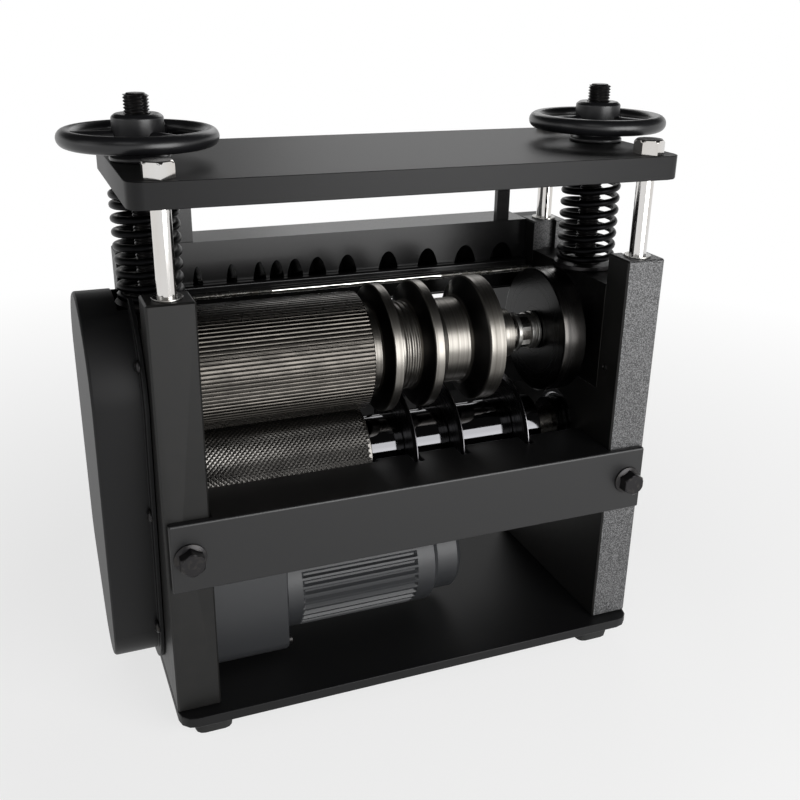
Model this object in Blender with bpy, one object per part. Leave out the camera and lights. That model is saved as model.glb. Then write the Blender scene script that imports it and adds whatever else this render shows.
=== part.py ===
"""Bench machine that strips cable.

Two side castings carry a lower shaft with three disc blades and an upper shaft with grooved
rollers. The upper shaft rides in a sprung carriage that two handwheels raise, and a gear motor
turns both shafts through a gear train under the cover on the left.

Built in metres with +Z up. X runs along the shafts, and cable goes in at +Y and comes out at -Y.
The origin is under the middle of the machine, on the surface that it stands on.
"""

import math

import bmesh
import bpy
from mathutils import Matrix, Vector

# Clearances of what fits together, and laps of what is cut or joined
FIT_GAP = 0.0003
HOLE_GAP = 0.0003
CUT_OVERRUN = 0.002
JOIN_LAP = 0.002
ARRIS = 0.0012

# Base and the rubber rails under it
BASE_THICKNESS = 0.008
BASE_OVERHANG = 0.010
BASE_CORNER = 0.012
RAIL_WIDTH = 0.030
RAIL_HEIGHT = 0.016
RAIL_INSET = 0.010
RAIL_CORNER = 0.006
RAIL_DRAFT = 0.002

# Gear train, whose module follows from how far apart the axes are
SHAFT_TEETH = 20
IDLER_TEETH = 12
PINION_TEETH = 14
GEAR_WIDTH = 0.018
GEAR_STAND_OFF = 0.005
ADDENDUM_SHARE = 0.9
DEDENDUM_SHARE = 1.25
TIP_SHARE = 0.24
ROOT_SHARE = 0.70
IDLER_PIN_RADIUS = 0.007
IDLER_PIN_HEAD_RADIUS = 0.011
IDLER_PIN_HEAD_THICKNESS = 0.003
IDLER_PIN_SINK = 0.016

# Gear motor
GEARBOX_SIDE = 0.088
GEARBOX_LENGTH = 0.060
GEARBOX_CORNER = 0.010
GEARBOX_LIFT = 0.002
GEARBOX_TO_BLADE = 0.0034
MOTOR_RADIUS = 0.042
MOTOR_LENGTH = 0.118
MOTOR_SHOULDER = 0.004
MOTOR_CAP_RADIUS = 0.036
MOTOR_CAP_LENGTH = 0.022
OUTPUT_RADIUS = 0.009

# Side castings
INNER_WIDTH = 0.300
SIDE_THICKNESS = 0.030
SIDE_DEPTH = 0.160
SIDE_ABOVE_AXIS = 0.0712
PRONG_DEPTH = 0.025
SLOT_GROOVE_WIDTH = 0.0106
SLOT_GROOVE_DEPTH = 0.005
SLOT_GROOVE_RUN_OUT = 0.001

# Front crossbar, its flanged bolts, and the rear tie bar
CROSSBAR_END_INSET = 0.00235
CROSSBAR_ABOVE_AXIS = 0.0076
ANGLE_LEG = 0.050
ANGLE_WALL = 0.005
ROLLER_RELIEF = 0.004
ROLLER_RELIEF_OVERRUN = 0.0022
NOTCH_SIDE_CLEARANCE = 0.0015
NOTCH_END_CLEARANCE = 0.002
TIE_BAR_WALL = 0.006
BOLT_SHANK_RADIUS = 0.005
BOLT_SHANK_LENGTH = 0.022
BOLT_FLANGE_RADIUS = 0.0107
BOLT_RIM_THICKNESS = 0.001
BOLT_FLANGE_THICKNESS = 0.0024
BOLT_ACROSS_FLATS = 0.0154
BOLT_HEAD_HEIGHT = 0.0078
BOLT_CHAMFER = 0.0011

# Top plate and the long bolts that are its posts
POST_RADIUS = 0.006
POST_SINK = 0.018
POST_CLEAR_LENGTH = 0.055
POST_ACROSS_FLATS = 0.018
POST_HEAD_HEIGHT = 0.010
TOP_PLATE_THICKNESS = 0.016
TOP_PLATE_OVERHANG = 0.005
TOP_PLATE_CORNER = 0.010

# Shafts, bearings and slider blocks
SHAFT_RADIUS = 0.0125
SHAFT_CHAMFER = 0.001
BEARING_RADIUS = 0.026
BEARING_WIDTH = 0.015
SLIDER_BELOW_AXIS = 0.032
SLIDER_FLOOR_GAP = 0.0004

# Springs and the lift screws whose collars seat them
SPRING_RADIUS = 0.0195
SPRING_WIRE_RADIUS = 0.0025
SPRING_PITCH = 0.0086
SPRING_END = 0.005
SPRING_CURL_POINTS = 8
SEAT_RADIUS = 0.0235
SEAT_THICKNESS = 0.003
SEAT_ABOVE_ROLLERS = 0.0005
LIFT_SCREW_RADIUS = 0.008
LIFT_SCREW_SINK = 0.008
LIFT_SCREW_PROUD = 0.012

# Handwheels
THRUST_RADIUS = 0.019
THRUST_THICKNESS = 0.0025
HUB_RADIUS = 0.016
HUB_HEIGHT = 0.028
RIM_RADIUS = 0.044
RIM_TUBE_RADIUS = 0.0055
SPOKE_RADIUS = 0.0042
SPOKE_COUNT = 3

# Upper shaft, right to left, and the fluted roller that takes what length is left
FLANGE_RADIUS = 0.047
CORE_RADIUS = 0.0317
FLUTED_BELOW_FLANGE = 0.004
FLUTED_RADIUS = FLANGE_RADIUS - FLUTED_BELOW_FLANGE
FLUTED_END_GAP = 0.004
FLUTE_COUNT = 88
FLUTE_DEPTH = 0.0008
END_GAP = 0.001
END_HUB_RADIUS = 0.018
END_HUB_LENGTH = 0.0071
END_ABOVE_FLANGE = 0.001
END_FLANGE_RADIUS = FLANGE_RADIUS + END_ABOVE_FLANGE
END_FLANGE_LENGTH = 0.0182
SPOOL_END_GAP = 0.0006
SPOOL_LENGTH = 0.0192
SPOOL_RIM_RADIUS = 0.0148
SPOOL_RIM_LENGTH = 0.0035
SPOOL_WAIST_RADIUS = 0.0138
SPOOL_WAIST_LENGTH = 0.0082
SLEEVE_GAP = 0.0049
COLLAR_RADIUS = 0.0185
COLLAR_LENGTH = 0.0225
FLANGE_3_LENGTH = 0.0118
GROOVE_2_LENGTH = 0.0367
GROOVE_2_SLOPE = 0.0095
FLANGE_2_LENGTH = 0.0065
GROOVE_1_LENGTH = 0.0245
GROOVE_1_SLOPE = 0.0055
FLANGE_1_LENGTH = 0.0062
RELIEF_SLOPE = 0.004
RELIEF_LENGTH = 0.0091
EDGE_BREAK = 0.0006

# Lower shaft
NIP_GAP = 0.001
BLADE_RADIUS = FLANGE_RADIUS
BLADE_TO_CORE = 0.0013
BLADE_THICKNESS = 0.003
BLADE_EDGE_THICKNESS = 0.0006
BLADE_BEVEL = 0.004
KNURLED_OVERLAP = 0.0011
SPACER_TO_FLANGE = 0.0082
LAST_SPACER_LENGTH = 0.0217
LOCK_RING_RADIUS = 0.0195
LOCK_CORE_RADIUS = 0.0165
LOCK_RING_THICKNESS = 0.0022
LOCK_RING_PITCH = 0.0030
LOCK_RING_COUNT = 3

# Inlet guide with its arches and hangers, the lip and the tie rod
GUIDE_SET_BACK = 0.068
GUIDE_DEPTH = 0.036
GUIDE_HEIGHT = 0.0566
ARCH_BELOW_TOP = 0.018
ARCH_HEIGHT = 0.0216
ARCH_STEPS = 8
ARCH_PLACE_SHARES = (-0.405, -0.321, -0.250, -0.206, -0.158, -0.099, -0.018, 0.095, 0.207, 0.317, 0.427)
ARCH_WIDTH_SHARES = (0.027, 0.030, 0.036, 0.041, 0.046, 0.053, 0.055, 0.059, 0.063, 0.068, 0.073)
LIP_DEPTH = 0.0067
LIP_HEIGHT = 0.0225
LIP_BELOW_TOP = 0.0311
TIE_ROD_RADIUS = 0.0025
TIE_ROD_BELOW_LIP = 0.0075
HANGER_WIDTH = 0.011
HANGER_THICKNESS = 0.005
HANGER_INSET = 0.016
HANGER_SET_BACK = 0.002

# Feed rest with its pins
FEED_BAR_SET_BACK = 0.060
FEED_BAR_DEPTH = 0.016
FEED_BAR_HEIGHT = 0.020
FEED_BAR_BELOW_NIP = 0.0044
FEED_PIN_RADIUS = 0.0025
FEED_PIN_HEIGHT = 0.026
FEED_PIN_COUNT = 12

# Gear cover
COVER_CLEARANCE = 0.0025
COVER_SLOT_LAP = 0.002
COVER_WALL = 0.0025
COVER_DEPTH = 0.034
COVER_ROUNDING = 0.0015
COVER_FLANGE = 0.007
COVER_FLANGE_THICKNESS = 0.003
COVER_NOTCH_CLEARANCE = 0.0015
COVER_OUTLINE_POINTS = 36

# Control box with its panel and controls
BOX_INSET = 0.002
BOX_WIDTH = 0.062
BOX_DEPTH = 0.060
BOX_HEIGHT = 0.130
BOX_ABOVE_CROSSBAR = 0.002
BOX_WALL = 0.0025
BOX_CORNER = 0.008
PANEL_THICKNESS = 0.003
BEZEL_RADIUS = 0.0115
BEZEL_HEIGHT = 0.0035
STEM_RADIUS = 0.0055
STEM_LENGTH = 0.012
BUTTON_RADIUS = 0.0075
BUTTON_HEIGHT = 0.007
BUTTON_TRAVEL = 0.003
MUSHROOM_RADIUS = 0.017
MUSHROOM_HEIGHT = 0.013
MUSHROOM_TRAVEL = 0.004
MUSHROOM_EDGE_SHARE = 0.45
SIDE_CONTROL_SHARE = 0.25
BUTTON_ROW_SHARE = 0.36
MUSHROOM_ROW_SHARE = 0.08
SOCKET_ROW_SHARE = -0.33
SOCKET_WIDTH = 0.027
SOCKET_HEIGHT = 0.020
SOCKET_WALL = 0.002
SOCKET_DEPTH = 0.020
SOCKET_FLOOR = 0.004
SOCKET_FLANGE = 0.004
SOCKET_FLANGE_THICKNESS = 0.002
SOCKET_CORNER = 0.003

# Facets round a full turn, by how large the piece is, and steps round a corner
LARGE_FACETS = 32
SHAFT_FACETS = 20
BOLT_FACETS = 12
PIN_FACETS = 8
CORNER_STEPS = 3

# Heights, worked out from the bench up
BASE_TOP = RAIL_HEIGHT + BASE_THICKNESS
CENTRE_DISTANCE = BLADE_RADIUS + BLADE_TO_CORE + CORE_RADIUS
GEAR_MODULE = CENTRE_DISTANCE / SHAFT_TEETH
MOTOR_Z = BASE_TOP + GEARBOX_LIFT + GEARBOX_SIDE / 2
LOWER_Z = MOTOR_Z + GEARBOX_SIDE / 2 + GEARBOX_TO_BLADE + BLADE_RADIUS
UPPER_Z = LOWER_Z + CENTRE_DISTANCE
SIDE_TOP = UPPER_Z + SIDE_ABOVE_AXIS
CROSSBAR_Z = LOWER_Z + CROSSBAR_ABOVE_AXIS
BOLT_Z = CROSSBAR_Z - ANGLE_LEG / 2
SLIDER_BOTTOM = UPPER_Z - SLIDER_BELOW_AXIS
SLOT_FLOOR_Z = SLIDER_BOTTOM - SLIDER_FLOOR_GAP
SLIDER_TOP = UPPER_Z + END_FLANGE_RADIUS + SEAT_ABOVE_ROLLERS
SEAT_TOP = SLIDER_TOP + FIT_GAP + SEAT_THICKNESS
PLATE_BOTTOM = SIDE_TOP + POST_CLEAR_LENGTH
PLATE_TOP = PLATE_BOTTOM + TOP_PLATE_THICKNESS
WHEEL_Z = PLATE_TOP + FIT_GAP
GUIDE_BOTTOM = SIDE_TOP - GUIDE_HEIGHT
LIP_TOP = SIDE_TOP - LIP_BELOW_TOP
NIP_Z = UPPER_Z - FLUTED_RADIUS - NIP_GAP
FEED_BAR_TOP = NIP_Z - FEED_BAR_BELOW_NIP

# Radii that follow from the distance between the axes
KNURLED_RADIUS = CENTRE_DISTANCE - FLUTED_RADIUS - NIP_GAP
SPACER_RADIUS = CENTRE_DISTANCE - FLANGE_RADIUS - SPACER_TO_FLANGE
BORE_RADIUS = SHAFT_RADIUS + FIT_GAP

# Places across the machine, front to back
HALF_DEPTH = SIDE_DEPTH / 2
SLOT_HALF = HALF_DEPTH - PRONG_DEPTH
POST_Y = HALF_DEPTH - PRONG_DEPTH / 2
FRONT_FACE = -HALF_DEPTH - ANGLE_WALL
BOX_FRONT = HALF_DEPTH + FIT_GAP
PANEL_BACK = BOX_FRONT + BOX_DEPTH + FIT_GAP
PANEL_FACE = PANEL_BACK + PANEL_THICKNESS
BEZEL_TOP = PANEL_FACE + BEZEL_HEIGHT
MUSHROOM_BOTTOM = BEZEL_TOP + FIT_GAP + MUSHROOM_TRAVEL
MUSHROOM_TOP = MUSHROOM_BOTTOM + MUSHROOM_HEIGHT

# Places along the shafts
HALF_INNER = INNER_WIDTH / 2
HALF_OUTER = HALF_INNER + SIDE_THICKNESS
SIDE_MIDDLE = HALF_INNER + SIDE_THICKNESS / 2
BETWEEN_SIDES = HALF_INNER - FIT_GAP
BEARING_FACE = HALF_INNER + FIT_GAP
BEARING_BACK = BEARING_FACE + BEARING_WIDTH
SEAT_END = BEARING_BACK + FIT_GAP
GEAR_NEAR_X = -HALF_OUTER - GEAR_STAND_OFF
GEAR_FAR_X = GEAR_NEAR_X - GEAR_WIDTH
COVER_FAR_X = -HALF_OUTER - COVER_DEPTH
COVER_NEAR_X = -HALF_OUTER - FIT_GAP
END_RIGHT = HALF_INNER - END_GAP
END_FACE = END_RIGHT - END_HUB_LENGTH
END_LEFT = END_FACE - END_FLANGE_LENGTH
SPOOL_RIGHT = END_LEFT - SPOOL_END_GAP
SPOOL_LEFT = SPOOL_RIGHT - SPOOL_LENGTH
COLLAR_RIGHT = SPOOL_LEFT - SLEEVE_GAP
FLANGE_3_RIGHT = COLLAR_RIGHT - COLLAR_LENGTH
FLANGE_3_LEFT = FLANGE_3_RIGHT - FLANGE_3_LENGTH
FLANGE_2_RIGHT = FLANGE_3_LEFT - GROOVE_2_LENGTH
FLANGE_2_LEFT = FLANGE_2_RIGHT - FLANGE_2_LENGTH
FLANGE_1_RIGHT = FLANGE_2_LEFT - GROOVE_1_LENGTH
FLANGE_1_LEFT = FLANGE_1_RIGHT - FLANGE_1_LENGTH
RELIEF_RIGHT = FLANGE_1_LEFT - RELIEF_SLOPE
FLUTED_RIGHT = RELIEF_RIGHT - RELIEF_LENGTH
ROLLER_LEFT = -HALF_INNER + FLUTED_END_GAP
KNURLED_RIGHT = FLUTED_RIGHT + KNURLED_OVERLAP
BLADE_PLACES = (
    (FLANGE_1_RIGHT + FLANGE_2_LEFT) / 2,
    (FLANGE_2_RIGHT + FLANGE_3_LEFT) / 2,
    (FLANGE_3_RIGHT + END_LEFT) / 2,
)
LAST_SPACER_RIGHT = BLADE_PLACES[-1] + BLADE_THICKNESS / 2 + LAST_SPACER_LENGTH
BOX_LEFT = HALF_INNER + BOX_INSET
BOX_MIDDLE = BOX_LEFT + BOX_WIDTH / 2
BOX_BOTTOM = CROSSBAR_Z + BOX_ABOVE_CROSSBAR
BOX_MIDDLE_Z = BOX_BOTTOM + BOX_HEIGHT / 2

# How far the machine reaches each way, and the middle that the origin stands under
WHEEL_REACH = SIDE_MIDDLE + RIM_RADIUS + RIM_TUBE_RADIUS
LEFT_REACH = max(WHEEL_REACH, -COVER_FAR_X)
RIGHT_REACH = max(WHEEL_REACH, BOX_LEFT + BOX_WIDTH)
BOLT_REACH = -FRONT_FACE + FIT_GAP + BOLT_FLANGE_THICKNESS + BOLT_HEAD_HEIGHT
FRONT_REACH = max(BOLT_REACH, HALF_DEPTH + BASE_OVERHANG)
MIDDLE = Vector(((RIGHT_REACH - LEFT_REACH) / 2, (MUSHROOM_TOP - FRONT_REACH) / 2, 0))


def idler_place():
    """Y and Z of the idler: the third corner of a triangle with the lower shaft and the pinion."""
    to_lower = GEAR_MODULE * (SHAFT_TEETH + IDLER_TEETH) / 2
    to_pinion = GEAR_MODULE * (IDLER_TEETH + PINION_TEETH) / 2
    drop = LOWER_Z - MOTOR_Z
    along = (to_lower**2 + drop**2 - to_pinion**2) / (2 * drop)
    return math.sqrt(to_lower**2 - along**2), LOWER_Z - along


IDLER_Y, IDLER_Z = idler_place()
BUTTON_X = BOX_WIDTH * SIDE_CONTROL_SHARE
BUTTON_Z = BOX_MIDDLE_Z + BOX_HEIGHT * BUTTON_ROW_SHARE

# The origin of each body, which lies on its joint's axis
BODY_PLACES = {
    "frame": (0, 0, 0),
    "upper_carriage": (0, 0, UPPER_Z),
    "upper_shaft_set": (0, 0, UPPER_Z),
    "lower_shaft_set": (0, 0, LOWER_Z),
    "idler": (0, IDLER_Y, IDLER_Z),
    "motor_output": (0, 0, MOTOR_Z),
    "left_wheel": (-SIDE_MIDDLE, 0, WHEEL_Z),
    "right_wheel": (SIDE_MIDDLE, 0, WHEEL_Z),
    "start_control": (BOX_MIDDLE - BUTTON_X, PANEL_FACE, BUTTON_Z),
    "stop_control": (BOX_MIDDLE + BUTTON_X, PANEL_FACE, BUTTON_Z),
    "mushroom_control": (BOX_MIDDLE, PANEL_FACE, BOX_MIDDLE_Z + BOX_HEIGHT * MUSHROOM_ROW_SHARE),
}
CONTROL_STEMS = {
    "start_control": STEM_RADIUS,
    "stop_control": STEM_RADIUS,
    "mushroom_control": BUTTON_RADIUS,
}
SIDES = (("left", -1), ("right", 1))
ENDS = (("front", -1), ("rear", 1))

# Red, green and blue of each finish, then its roughness and its metallic value
FINISHES = {
    "black_paint": (0.030, 0.030, 0.032, 0.42, 0.0),
    "hammered_paint": (0.055, 0.055, 0.058, 0.50, 0.0),
    "black_oxide": (0.040, 0.040, 0.042, 0.38, 0.6),
    "roller_steel": (0.42, 0.41, 0.40, 0.36, 1.0),
    "groove_steel": (0.50, 0.47, 0.42, 0.24, 1.0),
    "blade_steel": (0.30, 0.30, 0.31, 0.25, 1.0),
    "dark_steel": (0.075, 0.075, 0.078, 0.30, 0.8),
    "bearing_steel": (0.55, 0.55, 0.56, 0.20, 1.0),
    "bright_steel": (0.62, 0.62, 0.62, 0.22, 1.0),
    "chrome": (0.78, 0.78, 0.79, 0.08, 1.0),
    "spring_steel": (0.045, 0.045, 0.048, 0.35, 0.6),
    "gear_steel": (0.33, 0.33, 0.34, 0.40, 1.0),
    "motor_grey": (0.16, 0.165, 0.17, 0.55, 0.0),
    "rubber": (0.020, 0.020, 0.020, 0.85, 0.0),
    "black_plastic": (0.025, 0.025, 0.027, 0.45, 0.0),
    "red_plastic": (0.55, 0.02, 0.02, 0.35, 0.0),
    "green_plastic": (0.02, 0.30, 0.08, 0.35, 0.0),
}


def make_finishes():
    """One Principled material for each finish."""
    made = {}
    for label, (red, green, blue, roughness, metallic) in FINISHES.items():
        material = bpy.data.materials.new(label)
        material.use_nodes = True
        shader = material.node_tree.nodes["Principled BSDF"]
        shader.inputs["Base Color"].default_value = (red, green, blue, 1)
        shader.inputs["Roughness"].default_value = roughness
        shader.inputs["Metallic"].default_value = metallic
        made[label] = material
    return made


def make_origins():
    """An empty under the middle of the machine, and on it one empty for each body."""
    machine = bpy.data.objects.new("machine_origin", None)
    bpy.context.scene.collection.objects.link(machine)
    machine.location = -MIDDLE
    made = {}
    for body, place in BODY_PLACES.items():
        empty = bpy.data.objects.new(body + "_origin", None)
        bpy.context.scene.collection.objects.link(empty)
        empty.parent = machine
        empty.location = place
        made[body] = empty
    return made


class Shop:
    """Turns meshes and wires into named objects that hang on the origin of their body."""

    def __init__(self):
        for found in list(bpy.data.objects):
            bpy.data.objects.remove(found, do_unlink=True)
        self.finishes = make_finishes()
        self.origins = make_origins()

    def place(self, name, data, body, finish):
        """Link an object to the scene under its body's origin."""
        data.materials.append(self.finishes[finish])
        made = bpy.data.objects.new(name, data)
        bpy.context.scene.collection.objects.link(made)
        made.parent = self.origins[body]
        return made

    def add(self, name, mesh, body, finish):
        """Make an object from a mesh whose points are places in the machine."""
        bmesh.ops.remove_doubles(mesh, verts=mesh.verts, dist=FIT_GAP / 30)
        bmesh.ops.recalc_face_normals(mesh, faces=mesh.faces)
        bmesh.ops.translate(mesh, verts=mesh.verts, vec=-Vector(BODY_PLACES[body]))
        data = bpy.data.meshes.new(name)
        mesh.to_mesh(data)
        mesh.free()
        data.shade_smooth()
        data.set_sharp_from_angle(angle=math.radians(32))
        return self.place(name, data, body, finish)

    def add_wire(self, name, points, radius, body, finish):
        """Make a round wire with filled ends along the points."""
        data = bpy.data.curves.new(name, "CURVE")
        data.dimensions = "3D"
        data.bevel_depth = radius
        data.bevel_resolution = 1
        data.use_fill_caps = True
        spline = data.splines.new("POLY")
        spline.points.add(len(points) - 1)
        origin = Vector(BODY_PLACES[body])
        for knot, point in zip(spline.points, points):
            knot.co = (*(Vector(point) - origin), 1)
        return self.place(name, data, body, finish)

    def combine(self, target, mesh, name, body="frame", operation="DIFFERENCE"):
        """Cut a shape out of an object, or join it on, through a hidden helper object."""
        helper = self.add(name, mesh, body, "black_paint")
        helper.hide_render = True
        helper.display_type = "WIRE"
        boolean = target.modifiers.new(name, "BOOLEAN")
        boolean.object = helper
        boolean.operation = operation
        boolean.solver = "EXACT"

    @staticmethod
    def soften(target, width):
        """Break the square arrises of a piece."""
        bevel = target.modifiers.new("arris", "BEVEL")
        bevel.width = width
        bevel.segments = 1
        bevel.limit_method = "ANGLE"
        bevel.angle_limit = math.radians(50)


def circle(radius, facets, centre=(0, 0)):
    """Points of a circle, anticlockwise."""
    turn = 2 * math.pi / facets
    return [
        (centre[0] + radius * math.cos(turn * i), centre[1] + radius * math.sin(turn * i))
        for i in range(facets)
    ]


def hexagon(across_flats, facets, centre=(0, 0)):
    """Points round a hexagon, at even angles, so that it can be joined to a circle."""
    sector = math.pi / 3
    points = []
    for i in range(facets):
        angle = 2 * math.pi * i / facets
        from_flat = (angle + sector) % sector - sector / 2
        radius = across_flats / 2 / math.cos(from_flat)
        points.append((centre[0] + radius * math.cos(angle), centre[1] + radius * math.sin(angle)))
    return points


def square(low, high):
    """Outline of a plain rectangle."""
    return [(low[0], low[1]), (high[0], low[1]), (high[0], high[1]), (low[0], high[1])]


def rounded(low, high, radius):
    """Outline of a rectangle with round corners."""
    corners = (
        (high[0] - radius, high[1] - radius),
        (low[0] + radius, high[1] - radius),
        (low[0] + radius, low[1] + radius),
        (high[0] - radius, low[1] + radius),
    )
    points = []
    for quarter, (x, y) in enumerate(corners):
        for i in range(CORNER_STEPS + 1):
            angle = math.pi / 2 * (quarter + i / CORNER_STEPS)
            points.append((x + radius * math.cos(angle), y + radius * math.sin(angle)))
    return points


def centred(centre, width, height, radius):
    """Outline of a rectangle with round corners about its centre."""
    low = (centre[0] - width / 2, centre[1] - height / 2)
    high = (centre[0] + width / 2, centre[1] + height / 2)
    return rounded(low, high, radius)


def put(axis, along, first, second):
    """A point from its place along an axis and its two places across it, in X, Y, Z order."""
    if axis == "X":
        return (along, first, second)
    if axis == "Y":
        return (first, along, second)
    return (first, second, along)


def loft(axis, sections, into=None):
    """Join outlines of equal counts, each at its place along an axis, and cap both ends."""
    mesh = into if into is not None else bmesh.new()
    rings = [[mesh.verts.new(put(axis, along, u, v)) for u, v in outline] for along, outline in sections]
    for first, second in zip(rings, rings[1:]):
        for i, vert in enumerate(first):
            after = (i + 1) % len(first)
            mesh.faces.new((vert, first[after], second[after], second[i]))
    mesh.faces.new(rings[0])
    mesh.faces.new(rings[-1])
    return mesh


def slab(axis, low, high, outline, holes=()):
    """An outline carried from low to high along an axis, with holes right through it."""
    if not holes:
        return loft(axis, ((low, outline), (high, outline)))
    mesh = bmesh.new()
    near_edges = []
    far_edges = []
    for loop in (outline, *holes):
        near = [mesh.verts.new(put(axis, low, u, v)) for u, v in loop]
        far = [mesh.verts.new(put(axis, high, u, v)) for u, v in loop]
        for i, vert in enumerate(near):
            after = (i + 1) % len(near)
            mesh.faces.new((vert, near[after], far[after], far[i]))
            near_edges.append(mesh.edges.get((vert, near[after])))
            far_edges.append(mesh.edges.get((far[i], far[after])))
    bmesh.ops.triangle_fill(mesh, use_beauty=True, edges=near_edges)
    bmesh.ops.triangle_fill(mesh, use_beauty=True, edges=far_edges)
    return mesh


def box(low, high, into=None):
    """A plain box between two corners."""
    outline = square(low[:2], high[:2])
    return loft("Z", ((low[2], outline), (high[2], outline)), into)


def turned(axis, profile, centre, facets, into=None):
    """Turn a profile of (place along the axis, radius) about an axis through centre.

    A profile with no bore starts and ends at radius zero. Any other is a closed ring.
    """
    mesh = into if into is not None else bmesh.new()
    rings = []
    for along, radius in profile:
        if radius == 0:
            rings.append([mesh.verts.new(put(axis, along, *centre))] * facets)
        else:
            outline = circle(radius, facets, centre)
            rings.append([mesh.verts.new(put(axis, along, u, v)) for u, v in outline])
    pairs = list(zip(rings, rings[1:]))
    if profile[0][1] != 0:
        pairs.append((rings[-1], rings[0]))
    for first, second in pairs:
        for i in range(facets):
            after = (i + 1) % facets
            corners = [first[i], first[after], second[after], second[i]]
            mesh.faces.new([vert for k, vert in enumerate(corners) if vert not in corners[:k]])
    return mesh


def ring(axis, low, high, bore, radius, centre, facets):
    """A plain tube, sleeve or washer."""
    return turned(axis, [(low, bore), (low, radius), (high, radius), (high, bore)], centre, facets)


def rod(axis, low, high, radius, centre, facets, into=None):
    """A plain round bar."""
    return turned(axis, [(low, 0), (low, radius), (high, radius), (high, 0)], centre, facets, into)


def sleeve(stations, centre, facets):
    """A roller on a shaft: its (place, radius) stations, closed by the bore of the shaft."""
    profile = [(stations[0][0], BORE_RADIUS), *stations, (stations[-1][0], BORE_RADIUS)]
    return turned("X", profile, centre, facets)


def add_base(shop):
    """Base plate on two rubber rails."""
    depth = HALF_DEPTH + BASE_OVERHANG
    outline = rounded((-HALF_OUTER, -depth), (HALF_OUTER, depth), BASE_CORNER)
    shop.add("base_plate", slab("Z", RAIL_HEIGHT, BASE_TOP - FIT_GAP, outline), "frame", "black_paint")
    length = 2 * (depth - RAIL_INSET)
    for side, sign in SIDES:
        centre = (sign * (HALF_OUTER - RAIL_INSET - RAIL_WIDTH / 2), 0)
        foot = centred(centre, RAIL_WIDTH - 2 * RAIL_DRAFT, length - 2 * RAIL_DRAFT, RAIL_CORNER)
        top = centred(centre, RAIL_WIDTH, length, RAIL_CORNER)
        rail = loft("Z", ((0, foot), (RAIL_HEIGHT - FIT_GAP, top)))
        shop.add(side + "_foot_rail", rail, "frame", "rubber")


def bearing_seat(sign, centre):
    """Cutter for a bearing seat bored from the inside, which the shaft leaves on the left only."""
    inside = sign * (HALF_INNER - CUT_OVERRUN)
    end = sign * SEAT_END
    seat = BEARING_RADIUS + HOLE_GAP
    if sign > 0:
        return rod("X", inside, end, seat, centre, SHAFT_FACETS)
    through = (BEARING_RADIUS + SHAFT_RADIUS) / 2
    outside = sign * (HALF_OUTER + CUT_OVERRUN)
    profile = [
        (inside, 0),
        (inside, seat),
        (end, seat),
        (end, through),
        (outside, through),
        (outside, 0),
    ]
    return turned("X", profile, centre, SHAFT_FACETS)


def add_casting(shop, side, sign):
    """One side casting: a tall plate with a U slot for the slider and a seat for the lower bearing."""
    near, far = sorted((sign * HALF_INNER, sign * HALF_OUTER))
    middle = sign * SIDE_MIDDLE
    outline = square((-HALF_DEPTH, BASE_TOP), (HALF_DEPTH, SIDE_TOP))
    finish = "black_paint" if side == "left" else "hammered_paint"
    casting = shop.add(side + "_side_casting", slab("X", near, far, outline), "frame", finish)
    shop.soften(casting, ARRIS)
    shop.combine(casting, bearing_seat(sign, (0, LOWER_Z)), side + "_bearing_cutter")
    low = (near - CUT_OVERRUN, -SLOT_HALF, SLOT_FLOOR_Z)
    high = (far + CUT_OVERRUN, SLOT_HALF, SIDE_TOP + CUT_OVERRUN)
    shop.combine(casting, box(low, high), side + "_slot_cutter")
    groove = SLOT_HALF + SLOT_GROOVE_DEPTH
    low = (middle - SLOT_GROOVE_WIDTH / 2, -groove, SLOT_FLOOR_Z - SLOT_GROOVE_RUN_OUT)
    high = (middle + SLOT_GROOVE_WIDTH / 2, groove, SIDE_TOP + CUT_OVERRUN)
    shop.combine(casting, box(low, high), side + "_groove_cutter")
    holes = bmesh.new()
    post_hole = POST_RADIUS + HOLE_GAP
    for _end, sense in ENDS:
        centre = (middle, sense * POST_Y)
        rod("Z", SIDE_TOP - POST_SINK, SIDE_TOP + CUT_OVERRUN, post_hole, centre, BOLT_FACETS, holes)
    deep = -HALF_DEPTH + BOLT_SHANK_LENGTH
    bolt_hole = BOLT_SHANK_RADIUS + HOLE_GAP
    rod("Y", -HALF_DEPTH - CUT_OVERRUN, deep, bolt_hole, (middle, BOLT_Z), BOLT_FACETS, holes)
    if side == "left":
        output = OUTPUT_RADIUS + 2 * HOLE_GAP
        rod("X", near - CUT_OVERRUN, far + CUT_OVERRUN, output, (0, MOTOR_Z), BOLT_FACETS, holes)
        pin = IDLER_PIN_RADIUS + HOLE_GAP
        rod("X", near - CUT_OVERRUN, near + IDLER_PIN_SINK, pin, (IDLER_Y, IDLER_Z), BOLT_FACETS, holes)
    shop.combine(casting, holes, side + "_hole_cutter")


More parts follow.
